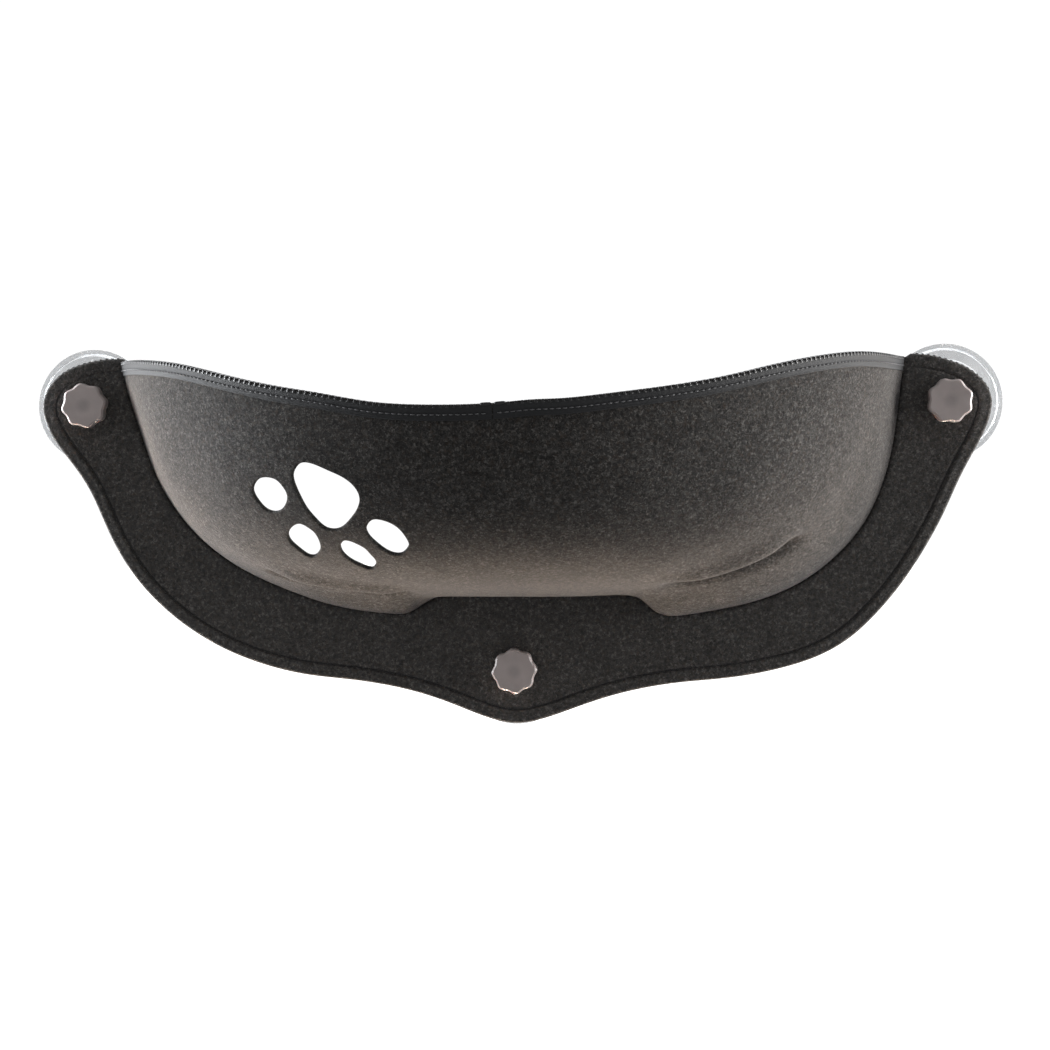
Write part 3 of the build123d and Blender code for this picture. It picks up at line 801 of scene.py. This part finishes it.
# flange: a strip round the opening that lies behind the panel's front felt
edge_ids = (
    [int(index[0, j]) for j in range(N_V + 1)]
    + [int(index[i, N_V]) for i in range(1, N_T + 1)]
    + [int(index[N_T, j]) for j in range(N_V - 1, -1, -1)]
)
edge = flat_grid[edge_ids]
edge2 = edge[:, [0, 2]]
edge_t = np.gradient(edge2, axis=0)
for _ in range(6):
    edge_t[1:-1] = (edge_t[:-2] + 2 * edge_t[1:-1] + edge_t[2:]) / 4
edge_t /= np.linalg.norm(edge_t, axis=1)[:, None]
edge_n = np.stack([edge_t[:, 1], -edge_t[:, 0]], 1)
# right side is walked downward, so outward is to the walk's left
edge_n *= np.sign(edge_n[10, 0])
cad_half = np.array([(280.0, 42.0), (274.0, 10.0), (266.5, -20.0), (256.5, -50.0), (243.5, -75.0),
                     (226.5, -97.0), (204.0, -115.0), (178.0, -128.0), (150.0, -136.0), (120.0, -140.0)])
cad_side = cubic(chords(cad_half), cad_half, np.linspace(0, chords(cad_half)[-1], 300))
cad_line = np.concatenate([cad_side, cad_side[::-1] * [-1, 1]])
cad_gap = distance_to(edge2, cad_line)
beyond = np.where((np.abs(edge2[:, 0]) < 120) & (edge2[:, 1] > -140), -cad_gap, 0)
out_of_cad = inside(edge2, np.concatenate([cad_line, [(-280, 90), (280, 90)]]))
over = np.where(out_of_cad, -cad_gap, cad_gap)
width = np.clip(FLANGE_W - over, 3.5, 20.0)
flange_f, ids = [], edge_ids
steps = [(0.35, -21.75), (1.3, -21.0), (2.6, -21.0)] + [(None, -21.0)] * 3
previous = edge_ids
count = start + len(new)
for k, (off, y) in enumerate(steps):
    if off is None:
        off = 2.6 + (width - 2.6) * (k - 2) / 3
    pts = np.stack([edge2[:, 0] + edge_n[:, 0] * off, np.full(len(edge2), y), edge2[:, 1] + edge_n[:, 1] * off], 1)
    top = pts[:, 2] > 32.2
    pts[top, 2] = 32.2 + 0.1 * (pts[top, 2] - 32.2)
    basket_v.append(pts)
    current = list(range(count, count + len(pts)))
    count += len(pts)
    for m in range(len(ids) - 1):
        flange_f.append((previous[m], current[m], current[m + 1], previous[m + 1]))
    previous = current
basket_v = np.concatenate(basket_v)
basket_f += flange_f
depth = np.full(len(basket_v), T_FELT)
depth[start + len(new):] = 3.0
# the felt is pressed thinner round the cut-outs
depth -= 1.3 * (1 - smooth(np.linalg.norm(basket_v - PAW_AT, axis=1), 62.0, 95.0))
basket_n = normals_of(basket_v, basket_f)
probe = int(index[N_T // 2, N_V // 3])
if basket_n[probe, 1] > 0:
    basket_f = [tuple(reversed(f)) for f in basket_f]
    basket_n = -basket_n
v, f = thick(basket_v, basket_f, depth, 0.8, 3, basket_n)
basket = make("basket_shell", v, f, basket_mat, "perch")
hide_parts("basket_felt")

# ---------------------------------------------------------------- panel
out_half = np.array(OUTLINE)
out_pts = np.concatenate([out_half, [(0.0, TIP_Z)], out_half[::-1] * [-1, 1]])
out_c = chords(out_pts)
outer = cubic(out_c, out_pts, np.linspace(0, out_c[-1], 3000))
outer = even(outer, 2.2)                      # right ear, round the tip, left ear
# the sewn panel is not quite symmetrical: sideways and upward shift by place
SEWN = [
    (279, 33, 0, 0), (312, 26, -0.3, 0), (333, 7, 0, 0), (330, -18, 0.4, -0.2),
    (316, -44, 1.4, -0.7), (306, -61, 2.9, -1.3), (299, -77, 3.0, -1.6), (290, -94, 2.5, -1.1),
    (280, -112, 1.8, -1.0), (269, -128, 2.0, -1.4), (255, -144, 2.3, -2.5), (237, -159, 3.2, -4.2),
    (226, -166, 3.0, -5.2), (210, -174, 2.4, -5.4), (181, -185, 1.2, -3.6), (150, -192, 0.4, -2.2),
    (121, -195, 0.1, -1.8), (73, -204, 0.4, -2.0), (47, -212, 0.6, -1.8), (0, -226, 0, -0.4),
    (-47, -212, 0, 0), (-100, -197, 0, 0), (-150, -192, 0.2, 0.2), (-180, -185, 0.5, 0.8),
    (-213, -173, 0.9, 1.5), (-228, -165, 1.4, 2.0), (-251, -147, 1.6, 1.5), (-268, -129, 1.1, 1.0),
    (-290, -94, 1.3, 0.7), (-298, -78, 2.2, 1.1), (-306, -61, 2.5, 1.2), (-316, -43, 1.2, 0.8),
    (-328, -24, -1.4, -0.6), (-334, -7, -2.1, -0.3), (-335, 1, -2.1, 0.1), (-333, 9, -2.1, 0.8),
    (-327, 16, -1.9, 1.9), (-319, 23, -1.5, 2.6), (-302, 29, -0.6, 1.6), (-279, 33, 0, 0),
]
sewn = np.array(SEWN, float)
outer_c = chords(outer)
sewn_c = [outer_c[np.argmin(np.linalg.norm(outer - p[:2], axis=1))] for p in sewn]
shift = np.stack([np.interp(outer_c, sewn_c, sewn[:, k]) for k in (2, 3)], 1)
for _ in range(30):
    shift[1:-1] = (shift[:-2] + 2 * shift[1:-1] + shift[2:]) / 4
outer = even(outer + shift, 2.2)
opening = edge2 + edge_n * 0.55               # right ear down, round, left ear
opening = even(opening, 2.2)
opening = opening[opening[:, 1] < 32.0]
region = np.concatenate([outer, opening[::-1]])


def panel_points(step, outer_offsets, inner_offsets, holes):
    """Triangulated U shaped panel with rows of points along its edges."""
    pts, con = [], []

    def chain(line, closed=False, test=None):
        base = len(pts)
        ok = []
        for k, p in enumerate(line):
            pts.append(tuple(p))
            ok.append(True)
        for k in range(len(line) - (0 if closed else 1)):
            con.append((base + k, base + (k + 1) % len(line)))

    chain(region, True)
    for circle in holes:
        chain(circle, True)
    d_in_outer = None
    for d in outer_offsets:
        line = pushed(outer, -d)
        if inside(line[len(line) // 2][None], region)[0] == False:
            line = pushed(outer, d)
        ok = inside(line, region) & (distance_to(line, opening) > 1.6) & (distance_to(line, outer) > d - 0.06)
        for circle in holes:
            ok &= distance_to(line, circle, True) > 1.2
        run = []
        for p, good_here in list(zip(line, ok)) + [(None, False)]:
            if good_here:
                run.append(p)
            else:
                if len(run) > 2:
                    chain(run)
                run = []
    for d in inner_offsets:
        line = pushed(opening, d)
        if not inside(line[len(line) // 2][None], region)[0]:
            line = pushed(opening, -d)
        ok = inside(line, region) & (distance_to(line, outer) > outer_offsets[-1] + 1.0) & (distance_to(line, opening) > d - 0.06)
        run = []
        for p, good_here in list(zip(line, ok)) + [(None, False)]:
            if good_here:
                run.append(p)
            else:
                if len(run) > 2:
                    chain(run)
                run = []
    xs = np.arange(-340, 340, step)
    zs = np.arange(-230, 40, step)
    lat = np.array([(x + (0.5 * step if k % 2 else 0), z) for k, z in enumerate(zs) for x in xs])
    lat = lat[inside(lat, region)]
    lat = lat[(distance_to(lat, outer) > outer_offsets[-1] + step * 0.6) & (distance_to(lat, opening) > inner_offsets[-1] + step * 0.6)]
    for circle in holes:
        lat = lat[distance_to(lat, circle, True) > 1.2]
        lat = lat[~inside(lat, circle)]
    pts += [tuple(p) for p in lat]
    got, _, faces, _, _, _ = delaunay_2d_cdt([Vector(p) for p in pts], con, [], 0, 1e-4)
    got = np.array([tuple(p) for p in got])
    faces = np.array([t for t in faces if len(t) == 3])
    centre = got[faces].mean(1)
    ok = inside(centre, region)
    for circle in holes:
        ok &= ~inside(centre, circle)
    faces = faces[ok]
    used = np.unique(faces)
    remap = np.full(len(got), -1)
    remap[used] = np.arange(len(used))
    return got[used], remap[faces]


def circle(cx, cz, r, n=28):
    return np.array([(cx + r * math.cos(2 * math.pi * k / n), cz + r * math.sin(2 * math.pi * k / n)) for k in range(n)])


eyelet_holes = [circle(x, z, 4.2) for x, z in SITES.values()]
front_2d, front_f = panel_points(
    4.0,
    [0.18, 0.55, 1.1, 1.8, 2.7, 3.8, 5.0, 6.0, 6.8, 7.4, 7.9, 8.35, 8.7, 9.0, 9.3, 9.65, 10.1, 10.7, 11.6, 13.2],
    [0.25, 0.7, 1.4, 2.4, 4.0],
    eyelet_holes,
)
d_out = distance_to(front_2d, outer)
d_in = distance_to(front_2d, opening)
lift = np.zeros(len(front_2d))                # towards the room
r_out = 1.5
roll = np.clip(r_out - d_out, 0, r_out)
lift -= (r_out - np.sqrt(np.maximum(r_out**2 - roll**2, 0))) * 0.95
r_in = 1.2
roll = np.clip(r_in - d_in, 0, r_in)
lift -= (r_in - np.sqrt(np.maximum(r_in**2 - roll**2, 0))) * 0.9
ear_band = smooth(front_2d[:, 1], 6.0, 15.0)      # the zip's tape lies flat there
lift += (0.5 * np.exp(-(((d_out - 6.6) / 1.5) ** 2)) + 0.15 * np.exp(-(((d_out - 4.4) / 2.2) ** 2))) * (1 - 0.7 * ear_band)
lift -= 1.65 * np.exp(-(((d_out - 9.0) / 0.72) ** 2)) * (1 - 0.55 * ear_band)
lift += 0.22 * np.exp(-(((d_out - 10.9) / 1.1) ** 2))
lift += 0.35 * np.exp(-(((d_in - 3.2) / 2.4) ** 2)) * smooth(d_out, 9, 13)
low = np.array([noise.noise(Vector((p[0] / 38.0, p[1] / 38.0, 0.3))) for p in front_2d])
small = np.array([noise.noise(Vector((p[0] / 9.0, p[1] / 9.0, 4.3))) for p in front_2d])
lift += (0.30 * low + 0.10 * small) * smooth(d_out, 2, 8)
for x, z in SITES.values():
    r = np.hypot(front_2d[:, 0] - x, front_2d[:, 1] - z)
    near = 1 - smooth(r, 9.5, 17.0)
    lift = lift * (1 - near) + 0.0 * near
    lift += 0.35 * np.exp(-(((r - 19.0) / 4.0) ** 2))
front_v = np.stack([front_2d[:, 0], -Y_FACE - lift, front_2d[:, 1]], 1)
flange_zone = distance_to(front_2d, cad_line) < FLANGE_W + 0.6
flange_zone |= d_in < 6.0
turned = (d_out < 9.7) & ~flange_zone
depth = np.where(turned, Y_FACE - Y_CORE, Y_FACE - Y_FRONT) + lift
flat_n = np.tile((0.0, -1.0, 0.0), (len(front_v), 1))
tri = front_v[front_f[0]]
if np.cross(tri[1] - tri[0], tri[2] - tri[0])[1] > 0:
    front_f = front_f[:, ::-1]
v, f = thick(front_v, [tuple(t) for t in front_f], depth, 0.35, 2, flat_n)
panel_face = make("panel_face", v, f, panel_mat, "perch")
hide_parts("panel_front_felt")

rear_2d, rear_f = panel_points(6.0, [0.2, 0.6, 1.2, 2.2, 4.0, 6.4, 7.8, 8.4, 8.8, 9.2, 9.6, 10.2, 12.0], [0.4, 1.2, 3.0], eyelet_holes)
d_out = distance_to(rear_2d, outer)
d_in = distance_to(rear_2d, opening)
lift = np.zeros(len(rear_2d))
roll = np.clip(1.4 - d_out, 0, 1.4)
lift -= (1.4 - np.sqrt(np.maximum(1.96 - roll**2, 0))) * 0.9
roll = np.clip(1.0 - d_in, 0, 1.0)
lift -= (1.0 - np.sqrt(np.maximum(1.0 - roll**2, 0))) * 0.8
lift -= 0.7 * np.exp(-(((d_out - 9.0) / 0.6) ** 2))
lift += 0.2 * np.array([noise.noise(Vector((p[0] / 40.0, p[1] / 40.0, 7.3))) for p in rear_2d]) * smooth(d_out, 2, 8)
for x, z in SITES.values():
    r = np.hypot(rear_2d[:, 0] - x, rear_2d[:, 1] - z)
    lift *= smooth(r, 9.5, 17.0)
rear_v = np.stack([rear_2d[:, 0], -Y_REAR + lift, rear_2d[:, 1]], 1)
tri = rear_v[rear_f[0]]
if np.cross(tri[1] - tri[0], tri[2] - tri[0])[1] < 0:
    rear_f = rear_f[:, ::-1]
v, f = thick(rear_v, [tuple(t) for t in rear_f], Y_CORE - Y_REAR + lift, 0.3, 2, np.tile((0.0, 1.0, 0.0), (len(rear_v), 1)))
panel_back = make("panel_back", v, f, panel_mat, "perch")
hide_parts("panel_rear_felt")


# ---------------------------------------------------------------- seams
def stitched(line2, y, normal_y, pitch, gap, width, height, sink):
    """Stitches along a line on the panel."""
    c = chords(line2)
    paths, norms = [], []
    n = int(c[-1] // pitch)
    for k in range(n):
        s0, s1 = k * pitch + gap / 2, (k + 1) * pitch - gap / 2
        a = [np.interp(s0, c, line2[:, m]) for m in (0, 1)]
        b = [np.interp(s1, c, line2[:, m]) for m in (0, 1)]
        paths.append(((a[0], y, a[1]), (b[0], y, b[1])))
        norms.append((0, normal_y, 0))
    return capsules(paths, norms, pitch, width, height, sink)


def offset_run(line, d, keep_test):
    got = pushed(line, -d)
    if not inside(got[len(got) // 2][None], region)[0]:
        got = pushed(line, d)
    got = got[keep_test(got)]
    return even(got, 1.0)


edge_run = offset_run(outer, 9.0, lambda p: inside(p, region) & (distance_to(p, opening) > 4.5) & (distance_to(p, outer) > 8.9))
v1, f1 = stitched(edge_run, -Y_FACE + 1.15, -1, 4.0, 0.7, 0.85, 0.55, 0.0)
v2, f2 = stitched(edge_run, -Y_REAR - 0.45, 1, 4.0, 0.7, 0.85, 0.55, 0.0)
f2 = [tuple(len(v1) + k for k in q) for q in f2]
edge_sewing = make("panel_edge_sewing", np.concatenate([v1, v2]), f1 + f2, thread_mat, "perch")
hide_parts("panel_edge_stitch")

seam_run = offset_run(opening, 5.5, lambda p: inside(p, region) & (distance_to(p, outer) > 10.0) & (distance_to(p, opening) > 5.3))
v1, f1 = stitched(seam_run, -Y_REAR + 0.15, 1, 4.0, 0.8, 0.85, 0.5, 0.0)
basket_sewing = make("basket_seam_sewing", v1, f1, thread_mat, "perch")
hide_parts("basket_seam_stitch")

# ---------------------------------------------------------------- zip
TAPE_H, TAPE_T = 9.0, 0.8
rim_dense = wall(dense_t, np.zeros_like(dense_t))
rim_len = chords(rim_dense)
front_ok = rim_dense[:, 1] < -Y_FACE - 0.5
centre_s = np.interp(-0.0, -rim_dense[:, 0], rim_len)


def zip_side(sign):
    label = "right" if sign > 0 else "left"
    s_panel = rim_len[front_ok][0] if sign > 0 else rim_len[front_ok][-1]
    s_mid = centre_s - sign * 0.5 * 1.0
    n = 190
    s = np.linspace(s_panel, s_mid, n)
    t = np.interp(s, rim_len, dense_t)
    # tape: across from just above the felt's edge down the outside of the wall
    across = [0.25, 0.9, 2.0, 3.2, 4.3, 4.9, 5.2, 5.5, 6.2, 7.2, 7.9, 8.3, 8.6, 8.85, 9.0]
    raised = [0.10, 0.35, 0.30, 0.32, 0.26, 0.06, -0.02, 0.06, 0.26, 0.30, 0.36, 0.62, 0.72, 0.60, 0.30]
    pts = []
    for a, h in zip(across, raised):
        v_at = below_rim(t, a)
        p, nn, _, _ = wall_frame(t, v_at)
        pts.append(p + nn * (0.35 + h + 0.06 * np.sin(s * 1.7 + a)[:, None]))
    pts = np.array(pts)                        # across, along
    verts = pts.reshape(-1, 3)
    m = len(across)
    faces = [(i * n + k, i * n + k + 1, (i + 1) * n + k + 1, (i + 1) * n + k) for i in range(m - 1) for k in range(n - 1)]
    nrm = normals_of(verts, faces)
    _, nn, _, _ = wall_frame(t[n // 2:n // 2 + 1], np.array([0.01]))
    if nrm[(m // 2) * n + n // 2] @ nn[0] < 0:
        faces = [tuple(reversed(q)) for q in faces]
    v, f = thick(verts, faces, 0.55, 0.2, 2)
    tape = make(f"woven_tape_{label}", v, f, tape_mat, "perch")
    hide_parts(f"zip_tape_{label}")
    # stitches that hold the tape
    pitch = 4.0
    span_s = abs(s_mid - s_panel)
    k = np.arange(int(span_s // pitch))
    direction = 1 if sign > 0 else -1
    a_s = s_panel + direction * (k * pitch + 0.5)
    b_s = s_panel + direction * ((k + 1) * pitch - 0.5)
    ta, tb = np.interp(a_s, rim_len, dense_t), np.interp(b_s, rim_len, dense_t)
    pa, na, _, _ = wall_frame(ta, below_rim(ta, 5.2))
    pb, nb, _, _ = wall_frame(tb, below_rim(tb, 5.2))
    v, f = capsules(list(zip(pa + na * 0.55, pb + nb * 0.55)), list(na + nb), pitch, 0.8, 0.5)
    sewing = make(f"tape_sewing_{label}", v, f, tape_thread_mat, "perch")
    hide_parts(f"zip_stitch_{label}")
    # teeth on the rim
    pitch = 4.2
    spots = []
    first = s_panel + direction * 2.2
    last = s_mid - direction * 7.2
    count_teeth = int(abs(last - first) // pitch) + 1
    ts = np.interp(first + direction * pitch * np.arange(count_teeth), rim_len, dense_t)
    p, nn, along, up = wall_frame(ts, np.full_like(ts, 0.002))
    up = np.cross(along, nn)
    up *= np.where(up[:, 2] < 0, -1.0, 1.0)[:, None]
    for a in range(len(ts)):
        spots.append((p[a] + nn[a] * -0.5, along[a], nn[a], up[a], 0.70))
    # teeth on the ear's top edge
    ear = outer[(outer[:, 0] * sign > 281.5) & (outer[:, 1] > 7.0)]
    ear = even(ear, pitch)
    tang = np.gradient(ear, axis=0)
    tang /= np.linalg.norm(tang, axis=1)[:, None]
    for q, d in zip(ear, tang):
        out2 = np.array([-d[1], d[0]])
        if inside((q + out2)[None], region)[0]:
            out2 = -out2
        spots.append((
            np.array([q[0], -19.4, q[1]]) - np.array([out2[0], 0, out2[1]]) * 0.1,
            np.array([d[0], 0, d[1]]), np.array([0, -1.0, 0]), np.array([out2[0], 0, out2[1]]), 0.52,
        ))
    levels = [(-1.1, 1.00, 1.35, 0.3), (-0.9, 1.12, 1.45, 0.3), (0.15, 1.12, 1.45, 0.3), (0.55, 0.92, 1.30, 0.45),
              (0.95, 0.74, 1.22, 0.5), (1.35, 0.86, 1.25, 0.5), (1.75, 1.05, 1.30, 0.5), (2.15, 0.98, 1.18, 0.5),
              (2.38, 0.62, 0.80, 0.6)]
    ring = 12
    verts, faces = [], []
    for centre, along_a, thick_a, up_a, tall in spots:
        base = len(verts)
        for h, wx, wy, power in levels:
            for kk in range(ring):
                th = 2 * math.pi * kk / ring
                c, sn = math.cos(th), math.sin(th)
                cx = math.copysign(abs(c) ** power, c)
                sy = math.copysign(abs(sn) ** power, sn)
                verts.append(centre + along_a * wx * cx + thick_a * wy * sy + up_a * h * tall)
        hand = np.dot(np.cross(along_a, thick_a), up_a)
        local = []
        for i in range(len(levels) - 1):
            for kk in range(ring):
                p0, p1 = base + i * ring + kk, base + i * ring + (kk + 1) % ring
                local.append((p0, p1, p1 + ring, p0 + ring))
        local.append(tuple(base + kk for kk in reversed(range(ring))))
        local.append(tuple(base + (len(levels) - 1) * ring + kk for kk in range(ring)))
        faces += local if hand > 0 else [tuple(reversed(q)) for q in local]
    teeth = make(f"teeth_row_{label}", np.array(verts), faces, teeth_mat, "perch")
    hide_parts(f"zip_teeth_{label}")
    return tape


tapes = [zip_side(1), zip_side(-1)]


def zip_end(sign):
    """Low rounded clip moulded over the end of the zip."""
    label = "right" if sign > 0 else "left"
    verts, faces, n, seg = [], [], 15, 18
    for i in range(n):
        share = i / (n - 1)
        grow = 0.30 + 0.70 * (1 - abs(2 * share - 1) ** 3.4) ** 0.5
        x = sign * (0.7 + 7.4 * share)
        level_z = float(np.interp(x, rim_tab_x, rim_tab))
        for k in range(seg):
            th = 2 * math.pi * k / seg
            c, sn = math.cos(th), math.sin(th)
            verts.append((
                x, -252.2 + 1.9 * grow * math.copysign(abs(c) ** 0.6, c),
                level_z + 0.55 + 1.25 * grow * math.copysign(abs(sn) ** 0.6, sn),
            ))
    for i in range(n - 1):
        for k in range(seg):
            p0, p1 = i * seg + k, i * seg + (k + 1) % seg
            faces.append((p0, p1, p1 + seg, p0 + seg))
    faces.append(tuple(reversed(range(seg))))
    faces.append(tuple((n - 1) * seg + k for k in range(seg)))
    if sign < 0:
        faces = [tuple(reversed(q)) for q in faces]
    o = make(f"zip_end_{label}", np.array(verts), faces, teeth_mat, "perch")
    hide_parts(f"zip_stop_{label}")


zip_end(1)
zip_end(-1)


# ---------------------------------------------------------------- studs
def stud(label, x, z):
    """Flat-headed stud with a rolled M6 thread, pitch 1 mm."""
    seg = 28
    prof = [(0.0, -7.0), (7.4, -7.0), (8.0, -7.5), (8.0, -9.5), (7.5, -10.0), (3.0, -10.0), (3.0, -11.2)]
    verts, faces = [], []
    rings = []
    for r, y in prof:
        rings.append([(r, y)] * seg)
    per = 8
    pitch = 1.0
    y0, y1 = -11.6, -33.6
    n = int((y0 - y1) / pitch * per)
    for k in range(n + 1):
        y = y0 - k * pitch / per
        row = []
        for a in range(seg):
            phase = ((y0 - y) / pitch - a / seg) % 1.0
            tri = abs(phase * 2 - 1)
            fade = min(1.0, (y0 - y) / 1.0, (y - y1) / 0.6 + 0.2)
            row.append((3.0 - 0.58 * (1 - tri) * max(fade, 0.0), y))
        rings.append(row)
    rings.append([(2.3, -34.3)] * seg)
    rings.append([(1.9, -34.5)] * seg)
    for row in rings:
        for a, (r, y) in enumerate(row):
            th = 2 * math.pi * a / seg
            verts.append((x + r * math.cos(th), y, z + r * math.sin(th)))
    for i in range(len(rings) - 1):
        for a in range(seg):
            p0, p1 = i * seg + a, i * seg + (a + 1) % seg
            faces.append((p0, p1, p1 + seg, p0 + seg))
    faces.append(tuple((len(rings) - 1) * seg + a for a in range(seg)))
    o = make(f"stud_threaded_{label}", np.array(verts, float), faces, steel_mat, f"cup_{label}")
    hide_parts(f"cup_stud_{label}")
    return o


for label, (x, z) in SITES.items():
    stud(label, x, z)

# ---------------------------------------------------------------- stage
bpy.ops.mesh.primitive_circle_add(vertices=96, radius=9.0, fill_type="NGON", location=(0, 0, -0.52))
floor = bpy.context.object
floor.name = "floor"
fm = Mat("floor_paper")
fm.to("Base Color", fm.ramp(fm.noise(3.0, 2.0, 0.5), [(0.3, (0.90, 0.90, 0.90)), (0.7, (0.93, 0.93, 0.93))]))
fm.set(Roughness=0.95, Specular_IOR_Level=0.1, Emission_Color=(1.0, 0.985, 0.96, 1.0), Emission_Strength=1.0)
floor.data.materials.append(fm.m)
floor.visible_diffuse = False                 # the light from below has lamps of its own
floor.visible_glossy = False


def area(name, where, aim, size, size_y, power, colour):
    data = bpy.data.lights.new(name, "AREA")
    data.shape = "RECTANGLE"
    data.size, data.size_y = size, size_y
    data.energy = power
    data.color = colour
    o = bpy.data.objects.new(name, data)
    scene.collection.objects.link(o)
    o.location = where
    o.rotation_mode = "QUATERNION"
    o.rotation_quaternion = (Vector(aim) - Vector(where)).to_track_quat("-Z", "Y")
    o.visible_camera = False
    return o


area("side_left", (-1.7, 0.26, 0.12), (0, -0.10, -0.06), 0.9, 1.2, 74.0, (0.95, 0.975, 1.0))
area("side_right", (1.7, 0.12, 0.05), (0, -0.10, -0.06), 0.9, 1.2, 56.0, (1.0, 0.985, 0.965))
area("below", (0.0, 0.30, -0.56), (0, -0.14, -0.12), 1.7, 0.4, 18.5, (1.0, 0.78, 0.59))
under = area("under", (0.0, 0.01, -0.62), (0, -0.04, -0.12), 1.5, 0.06, 3.4, (1.0, 0.79, 0.61))
under.data.spread = math.radians(34)
area("behind", (0.0, 1.6, 0.9), (0, -0.1, 0.0), 2.2, 1.2, 30.0, (0.94, 0.97, 1.0))

world = bpy.data.worlds.new("studio")
scene.world = world
world.use_nodes = True
wt = world.node_tree
wt.nodes.clear()
w_out = wt.nodes.new("ShaderNodeOutputWorld")
bg_seen = wt.nodes.new("ShaderNodeBackground")
bg_seen.inputs[0].default_value = (1.0, 1.0, 1.0, 1.0)
bg_seen.inputs[1].default_value = 1.05
bg_light = wt.nodes.new("ShaderNodeBackground")
coord = wt.nodes.new("ShaderNodeTexCoord")
split = wt.nodes.new("ShaderNodeSeparateXYZ")
wt.links.new(coord.outputs["Generated"], split.inputs[0])
fall = wt.nodes.new("ShaderNodeMapRange")
for i, val in enumerate((-0.10, 0.80, 0.35, 0.95)):
    fall.inputs[i + 1].default_value = val
wt.links.new(split.outputs[1], fall.inputs[0])
wt.links.new(fall.outputs[0], bg_light.inputs[1])
bg_light.inputs[0].default_value = (1.0, 1.0, 1.0, 1.0)
path = wt.nodes.new("ShaderNodeLightPath")
blend = wt.nodes.new("ShaderNodeMixShader")
wt.links.new(path.outputs["Is Camera Ray"], blend.inputs[0])
wt.links.new(bg_light.outputs[0], blend.inputs[1])
wt.links.new(bg_seen.outputs[0], blend.inputs[2])
wt.links.new(blend.outputs[0], w_out.inputs[0])
